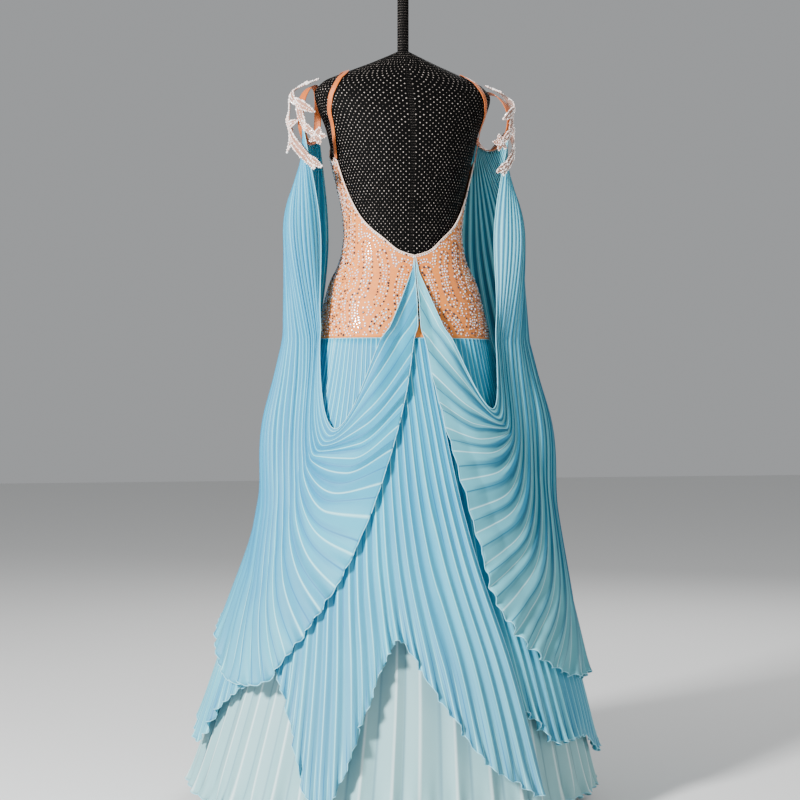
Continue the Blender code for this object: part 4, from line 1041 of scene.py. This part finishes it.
def stone_rows(spines, front):
    """Places along the rows of stones of half a piece, as angle and height pairs."""
    step = 0.001
    lines = []
    for spine in spines:
        t = np.linspace(0, 1, 24)[:, None]
        a, b, c = (np.array(p) for p in (
            (spine.across1 * MM, spine.up1), (spine.across2 * MM, spine.up2), (spine.across3 * MM, spine.up3)))
        lines.append(a * (1 - t) ** 2 + 2 * b * t * (1 - t) + c * t ** 2)
    spots = np.concatenate(lines)
    wide = np.arange(0, 0.300, step)
    tall = np.arange(HIP_SEAM_HEIGHT, 1.340, step)
    gx, gz = np.meshgrid(wide, tall)
    field = np.full(gx.shape, 9.0)
    for spot in spots:
        field = np.minimum(field, np.hypot(gx - spot[0], gz - spot[1]))
    down, over = np.gradient(field, step)

    def read(grid, x, z):
        i = int(min(max((z - tall[0]) / step, 0), len(tall) - 1))
        j = int(min(max((x - wide[0]) / step, 0), len(wide) - 1))
        return grid[i, j]

    # Turns a distance across the cloth into an angle, at any height.
    sample = np.linspace(0, 90, 61)
    levels = np.linspace(HIP_SEAM_HEIGHT, 1.33, 44)
    arcs = []
    for level in levels:
        ring = figure(sample + (0 if not front else 90), level)
        run = np.concatenate([[0], np.cumsum(np.linalg.norm(np.diff(ring, axis=0), axis=1))])
        arcs.append(run if not front else run[-1] - run)
    arcs = np.array(arcs)

    def angle_of(x, z):
        i = min(int((z - levels[0]) / (levels[1] - levels[0])), len(levels) - 1)
        run = arcs[max(i, 0)]
        if front:
            return float(np.interp(x, run[::-1], sample[::-1] + 90))
        return float(np.interp(x, run, sample))

    taken, placed = {}, []
    cell = STONE_PITCH

    def free(x, z):
        ci, cj = int(x / cell), int(z / cell)
        for i in (ci - 1, ci, ci + 1):
            for j in (cj - 1, cj, cj + 1):
                for px, pz in taken.get((i, j), ()):
                    if math.hypot(px - x, pz - z) < STONE_PITCH * 0.86:
                        return False
        return True

    def inside(x, z):
        if x < 0 or z < HIP_SEAM_HEIGHT + 0.004:
            return False
        angle = angle_of(x, z)
        limit = 179.0 if front else 89.4
        if not (90.6 if front else 0) <= angle <= limit:
            return False
        return z < float(neckline_height(angle)) - 0.006

    pairs = np.arange(0.003, 0.12, STONE_ROW + STONE_GAP)
    levels_of_row = np.sort(np.concatenate([pairs, pairs + STONE_ROW]))
    near = np.min(np.abs(field[..., None] - levels_of_row), axis=2)
    for i, j in np.argwhere(near < ROW_HALF_WIDTH)[::STONES_SKIPPED]:
        x, z = wide[j], tall[i]
        number = int(np.argmin(np.abs(levels_of_row - field[i, j])))
        row = levels_of_row[number]
        for way in (1, -1):
            px, pz = x, z
            for _ in range(220):
                gx_, gz_ = read(over, px, pz), read(down, px, pz)
                size = math.hypot(gx_, gz_) or 1.0
                gap = row - read(field, px, pz)
                px, pz = px + gx_ / size * gap * 0.8, pz + gz_ / size * gap * 0.8
                if not inside(px, pz) or not free(px, pz):
                    break
                taken.setdefault((int(px / cell), int(pz / cell)), []).append((px, pz))
                placed.append((angle_of(px, pz), pz, number % 3 == 1 and len(placed) % 2))
                px, pz = px - way * gz_ / size * STONE_PITCH, pz + way * gx_ / size * STONE_PITCH
    # The flanks are filled between the rows, with every third stone dark as painted shade.
    for x in np.arange(FLANK, wide[-1], STONE_PITCH):
        for z in np.arange(HIP_SEAM_HEIGHT, tall[-1], STONE_PITCH):
            if inside(x, z) and free(x, z):
                taken.setdefault((int(x / cell), int(z / cell)), []).append((x, z))
                placed.append((angle_of(x, z), z, len(placed) % 3 == 0))
    return placed


def build_bodice(mesh_material, stone_material, binding_material):
    rng = np.random.default_rng(11)
    for name, middle, spines, front in (
        ("bodice_back", 0, BACK_SPINES, False), ("bodice_front", 180, FRONT_SPINES, True),
    ):
        angles = np.linspace(middle - 89.9, middle + 89.9, BODICE_COLUMNS)[None, :]
        share = np.linspace(0, 1, BODICE_ROWS)[:, None]
        height = HIP_SEAM_HEIGHT + share * (neckline_height(angles) - HIP_SEAM_HEIGHT)
        points = off_figure(angles + 0 * height, height, np.full(height.shape, BODICE_EASE))
        cloth = finished(sheet_object(name + "_mesh", points, thickness=0.0008), mesh_material, [name])
        places = stone_rows(spines, front)
        rim_ends = (90.8, 179.4) if front else (middle + 0.6, middle + 89.2)
        rim_angles = np.linspace(*rim_ends, RIM_PLACES)
        rim_heights = neckline_height(rim_angles) - 0.0032
        rim = off_figure(rim_angles, rim_heights, np.full(RIM_PLACES, BODICE_EASE))
        run = np.concatenate([[0], np.cumsum(np.linalg.norm(np.diff(rim, axis=0), axis=1))])
        for at in np.arange(0, run[-1], STONE_PITCH * 0.9):
            places.append((np.interp(at, run, rim_angles), np.interp(at, run, rim_heights), 0))
        half = np.array(places, float)
        if front:
            angle = np.concatenate([half[:, 0], 360 - half[:, 0]])
        else:
            angle = np.concatenate([half[:, 0], -half[:, 0]])
        up = np.concatenate([half[:, 1], half[:, 1]])
        spots = off_figure(angle, up, np.full(len(up), BODICE_EASE + 0.0007))
        normals = outward(figure, angle, up)
        size = STONE_RADIUS * rng.choice([0.72, 0.9, 1.0, 1.22], len(up), p=[0.25, 0.3, 0.3, 0.15])
        shades = rng.uniform(0, DARK_SHADE, len(up))
        shades[np.concatenate([half[:, 2], half[:, 2]]) > 0] = DARK_SHADE
        stones = scattered(name + "_stones", cut_stone(), spots, normals, size, size * (STONE_HEIGHT / STONE_RADIUS),
                           shades, False)
        finished(stones, stone_material)
        top = points[-1]
        edge = mesh_object(name + "_binding", *tube(top + outward(figure, angles[0], height[-1]) * 0.0008, 0.0012, 8))
        finished(edge, binding_material)


def build_straps(material):
    places = np.arange(len(STRAP_ROUTE))
    t = np.linspace(0, places[-1], 140)
    for side, name in ((-1, "strap_left"), (1, "strap_right")):
        angle = side * smooth(places, [p.angle for p in STRAP_ROUTE], t)
        height = smooth(places, [p.height for p in STRAP_ROUTE], t)
        from_end = np.minimum(t, places[-1] - t) / STRAP_LANDING
        above = BODICE_EASE + CLOTH + 0.0004
        lift = STRAP_REST + (above - STRAP_REST) * np.clip(1 - from_end, 0, None)
        line = off_figure(angle, height, lift)
        normal = outward(figure, angle, height)
        across = unit(np.cross(np.gradient(line, axis=0), normal)) * STRAP_WIDTH / 2
        # A flat strap, a little crowned along its middle.
        rows = np.stack([line + across * s + normal * 0.0002 * (1 - s * s) for s in np.linspace(-1, 1, 7)], 1)
        obj = sheet_object(name + "_elastic", rows, thickness=0.0010)
        finished(obj, material, [name])


def on_lace(side, round_way, up, out):
    turn = round_way / LACE_ARC
    above = np.clip(up - LACE_BEND_HEIGHT, 0, None)
    bend = np.minimum(above / LACE_BEND_RADIUS, math.radians(LACE_BEND_ANGLE))
    beyond = np.clip(above - LACE_BEND_RADIUS * bend, 0, None)
    inward = LACE_BEND_RADIUS * (1 - np.cos(bend)) + beyond * np.sin(bend)
    height = np.minimum(up, LACE_BEND_HEIGHT) + LACE_BEND_RADIUS * np.sin(bend) + beyond * np.cos(bend)
    wide = LACE_OUT - inward + out * np.cos(bend)
    deep = LACE_DEPTH * (1 - inward / LACE_OUT) + out * np.cos(bend)
    x = LACE_AXIS + wide * np.cos(turn)
    return np.stack([side * x, -deep * np.sin(turn), height + out * np.sin(bend)], -1)


def lace_shapes():
    """Leaves and petals as start, end, width and rise, laid out flat."""
    shapes = [((l.round * MM, l.up), (l.to_round * MM, l.to_up), l.width * MM, l.rise * MM) for l in LACE_LEAVES]
    for flower in LACE_FLOWERS:
        for i in range(PETALS):
            turn = math.tau * i / PETALS
            way = np.array([math.cos(turn), math.sin(turn)]) * flower.radius * MM
            centre = np.array([flower.round * MM, flower.up])
            shapes.append((tuple(centre - way * 0.15), tuple(centre + way), flower.radius * MM * 0.75, 0.0))
    return shapes


def leaf_width(t):
    """The half width of a leaf along it, as a share, full near a third and pointed at the tip."""
    return smooth([0, 0.12, 0.36, 0.7, 0.9, 1], [0.40, 0.66, 1.0, 0.72, 0.34, 0.02], t)


def build_lace(thread, beads):
    shapes = lace_shapes()
    tips = np.array([s[1] for s in shapes])
    rises = np.array([s[3] for s in shapes])

    def lifted(flat):
        reach = np.linalg.norm(flat[:, None] - tips[None], axis=2) / LACE_RISE_REACH
        return np.sum(rises * np.exp(-reach ** 2), axis=1)

    rng = np.random.default_rng(4)
    for side, name in ((-1, "lace_left"), (1, "lace_right")):
        parts, bead_spots = [], []
        layer = 0
        for start, end, width, _ in shapes:
            start, end = np.array(start), np.array(end)
            t = np.linspace(0, 1, 22)
            s = np.linspace(-1, 1, 9)
            side_way = np.array([-(end - start)[1], (end - start)[0]])
            side_way = side_way / np.linalg.norm(side_way)
            half = leaf_width(t) * width / 2
            flat = start + (end - start) * t[:, None, None] + side_way * (half[:, None] * s)[..., None]
            crown = LACE_THICKNESS * (0.45 + 0.5 * (1 - s ** 2)) + 0.0002 * np.cos(s * 9)
            flat = flat.reshape(-1, 2)
            out = np.tile(crown, len(t)) + lifted(flat) + layer * 0.00006
            top = on_lace(side, flat[:, 0], flat[:, 1], out)
            low = on_lace(side, flat[:, 0], flat[:, 1], lifted(flat) + layer * 0.00006)
            parts.append(closed_leaf(top, low, len(t), len(s)))
            layer += 1
            for edge in (-0.86, 0.86):
                line = start + (end - start) * t[:, None] + side_way * (half * edge)[:, None]
                bead_spots.append(spaced(line, 0.0038))
            middle = start + (end - start) * np.linspace(0.08, 0.86, 20)[:, None]
            bead_spots.append(spaced(middle, 0.0048))
        stem = np.array([(p.round * MM, p.up) for p in LACE_STEM])
        t = np.linspace(0, len(stem) - 1, 90)
        line = np.stack([smooth(np.arange(len(stem)), stem[:, k], t) for k in (0, 1)], 1)
        half = smooth(np.arange(len(stem)), [p.width * MM / 2 for p in LACE_STEM], t)
        way = unit(np.gradient(line, axis=0))
        side_way = np.stack([-way[:, 1], way[:, 0]], 1)
        s = np.linspace(-1, 1, 9)
        flat = (line[:, None] + side_way[:, None] * (half[:, None] * s)[..., None]).reshape(-1, 2)
        crown = np.tile(LACE_THICKNESS * (0.4 + 0.4 * (1 - s ** 2)), len(t))
        parts.append(closed_leaf(on_lace(side, flat[:, 0], flat[:, 1], crown + lifted(flat)),
                                 on_lace(side, flat[:, 0], flat[:, 1], lifted(flat) + 0.0002), len(t), len(s)))
        for edge in (-0.88, 0.0, 0.88):
            bead_spots.append(spaced(line + side_way * (half * edge)[:, None], 0.0042))
        points, faces = joined(parts)
        lace = finished(mesh_object(name + "_leaves", points, faces), thread, [name])
        flat = np.concatenate(bead_spots)
        flat = flat + rng.normal(0, 0.0003, flat.shape)
        out = lifted(flat) + LACE_THICKNESS * 0.85
        spots = on_lace(side, flat[:, 0], flat[:, 1], out)
        normals = unit(on_lace(side, flat[:, 0], flat[:, 1], out + 0.002) - spots)
        size = rng.choice([0.0012, 0.0017, 0.0024], len(flat), p=[0.4, 0.4, 0.2])
        pearls = scattered(name + "_beads", ball(), spots, normals, size, size, rng.uniform(0, 1, len(flat)) ** 2, True)
        finished(pearls, beads)


def spaced(line, pitch):
    """Evenly spaced places along a flat line."""
    run = np.concatenate([[0], np.cumsum(np.linalg.norm(np.diff(line, axis=0), axis=1))])
    at = np.arange(pitch / 2, run[-1], pitch)
    return np.stack([np.interp(at, run, line[:, k]) for k in (0, 1)], 1)


def closed_leaf(top, low, rows, columns):
    """A solid between two grids of points that share their outline's places."""
    faces = grid_faces(rows, columns)
    under = [[i + len(top) for i in face][::-1] for face in faces]
    rim = [(i, 0) for i in range(rows)] + [(rows - 1, j) for j in range(1, columns)]
    rim += [(i, columns - 1) for i in range(rows - 2, -1, -1)] + [(0, j) for j in range(columns - 2, 0, -1)]
    loop = [i * columns + j for i, j in rim]
    wall = [[a, b, b + len(top), a + len(top)] for a, b in zip(loop, loop[1:] + loop[:1])]
    return np.concatenate([top, low]), faces + under + wall


def build_form(material, metal):
    heights = np.concatenate([
        np.linspace(0.735, 0.790, 16), np.linspace(0.796, 1.360, 96), np.linspace(1.364, 1.4575, 34),
    ])
    angles = np.linspace(0, 360, 128, endpoint=False)
    rows = [figure(angles, h) for h in heights]
    rod_heights = np.concatenate([[NECK_ROD_FOOT], np.linspace(1.474, NECK_ROD_TOP - 0.004, 12)])
    for height in rod_heights:
        x, y = round_point(angles, NECK_ROD_RADIUS, NECK_ROD_RADIUS, NECK_ROD_RADIUS)
        rows.append(np.stack([x, y, np.full_like(x, height)], -1))
    rows.append(rows[-1] * np.array([0.6, 0.6, 0]) + np.array([0, 0, NECK_ROD_TOP]))
    rows = np.stack(rows)
    count, columns = rows.shape[:2]
    faces = grid_faces(count, columns, closed=True)
    faces.append(list(range(columns))[::-1])
    faces.append([(count - 1) * columns + j for j in range(columns)])
    girth = np.radians(angles) * 0.135
    uvs = np.stack([np.broadcast_to(girth, (count, columns)),
                    np.broadcast_to(rows[:, :1, 2], (count, columns))], -1).reshape(-1, 2)
    obj = mesh_object("form_shell", rows.reshape(-1, 3), faces, None, uvs)
    finished(obj, material, ["form_torso"])
    for name in ("stand_base", "stand_pole"):
        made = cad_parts[name]
        made.data.materials.clear()
        made.data.materials.append(metal)


# The room.

def build_room():
    mesh = bpy.data.meshes.new("floor")
    reach = 14.0
    mesh.from_pydata([(-reach, -reach, 0), (reach, -reach, 0), (reach, reach, 0), (-reach, reach, 0)], [],
                     [(0, 1, 2, 3)])
    floor = bpy.data.objects.new("floor", mesh)
    bpy.context.scene.collection.objects.link(floor)
    material, _, shader = new_material("pale_floor")
    shader.inputs["Base Color"].default_value = (0.78, 0.78, 0.77, 1)
    shader.inputs["Roughness"].default_value = 0.8
    mesh.materials.append(material)
    world = bpy.data.worlds.new("studio")
    bpy.context.scene.world = world
    world.use_nodes = True
    background = world.node_tree.nodes["Background"]
    background.inputs["Color"].default_value = (0.86, 0.88, 0.90, 1)
    background.inputs["Strength"].default_value = 0.42
    Lamp = namedtuple("Lamp", "name x y z size power")
    for lamp in (
        Lamp("key", -3.2, -2.4, 2.5, 0.6, 520),
        Lamp("fill", 2.4, -3.2, 1.6, 2.4, 20),
        Lamp("rim", 1.8, 2.6, 2.8, 1.6, 60),
    ):
        data = bpy.data.lights.new(lamp.name, "AREA")
        data.size = lamp.size
        data.energy = lamp.power
        obj = bpy.data.objects.new(lamp.name, data)
        obj.location = (lamp.x, lamp.y, lamp.z)
        obj.rotation_euler = (Vector((0, 0, 0.8)) - Vector(obj.location)).to_track_quat("-Z", "Y").to_euler()
        bpy.context.scene.collection.objects.link(obj)


def build_camera():
    """A level camera that looks at the back from a little to its left."""
    data = bpy.data.cameras.new("camera")
    data.lens = 82.2
    camera = bpy.data.objects.new("camera", data)
    turn = math.radians(14)
    ahead = Vector((math.sin(turn), math.cos(turn), 0))
    right = Vector((math.cos(turn), -math.sin(turn), 0))
    camera.location = Vector((0, 0, 0.782)) - ahead * 3.6 - right * 0.00591
    camera.rotation_euler = (math.pi / 2, 0, -turn)
    bpy.context.scene.collection.objects.link(camera)
    bpy.context.scene.camera = camera


build_camera()
build_room()
blue = chiffon("blue_chiffon", (0.0, 0.20, 0.44), (0.025, 0.55, 0.76), (0.38, 0.94, 0.98), 0.06, 0.16, 0.84)
# The two floats are one chiffon; their colours differ only as painted light and shade, with darker painted shade and
# paler painted highlights on the right one.
float_blue = {
    -1: chiffon("left_chiffon", (0.0, 0.22, 0.46), (0.04, 0.54, 0.73), (0.42, 0.94, 0.98), 0.12, 0.07, 0.90),
    1: chiffon("right_chiffon", (0.0, 0.17, 0.30), (0.19, 0.70, 0.80), (0.60, 0.97, 1.0), 0.12, 0.07, 0.93),
}
pale_chiffon = chiffon("pale_chiffon", (0.20, 0.40, 0.46), (0.38, 0.58, 0.60), (0.72, 0.92, 0.92), 0.03, 0.10, 0.90)
edging = chiffon("edging", (0.30, 0.75, 0.88), (0.50, 0.88, 0.94), (0.75, 0.98, 1.0), 0.0, 0.1, 0.9)
elastic = woven("nude_elastic", (0.58, 0.13, 0.002), (0.44, 0.08, 0.002), 1400, 0.55)
nude = woven("nude_mesh", (0.78, 0.23, 0.02), (0.68, 0.17, 0.014), 1800, 0.6)
pale_binding = woven("pale_binding", (0.92, 0.74, 0.62), (0.80, 0.52, 0.40), 1500, 0.5)
build_form(net_cover("form_cover"), painted_metal("stand_metal"))
build_bodice(nude, crystal("crystal"), pale_binding)
build_straps(elastic)
build_underskirt(pale_chiffon, edging)
build_overskirt(blue, edging)
build_armbands(elastic)
build_lace(lace_thread("lace_thread"), pearl("pearl"))
build_floats(float_blue, edging)
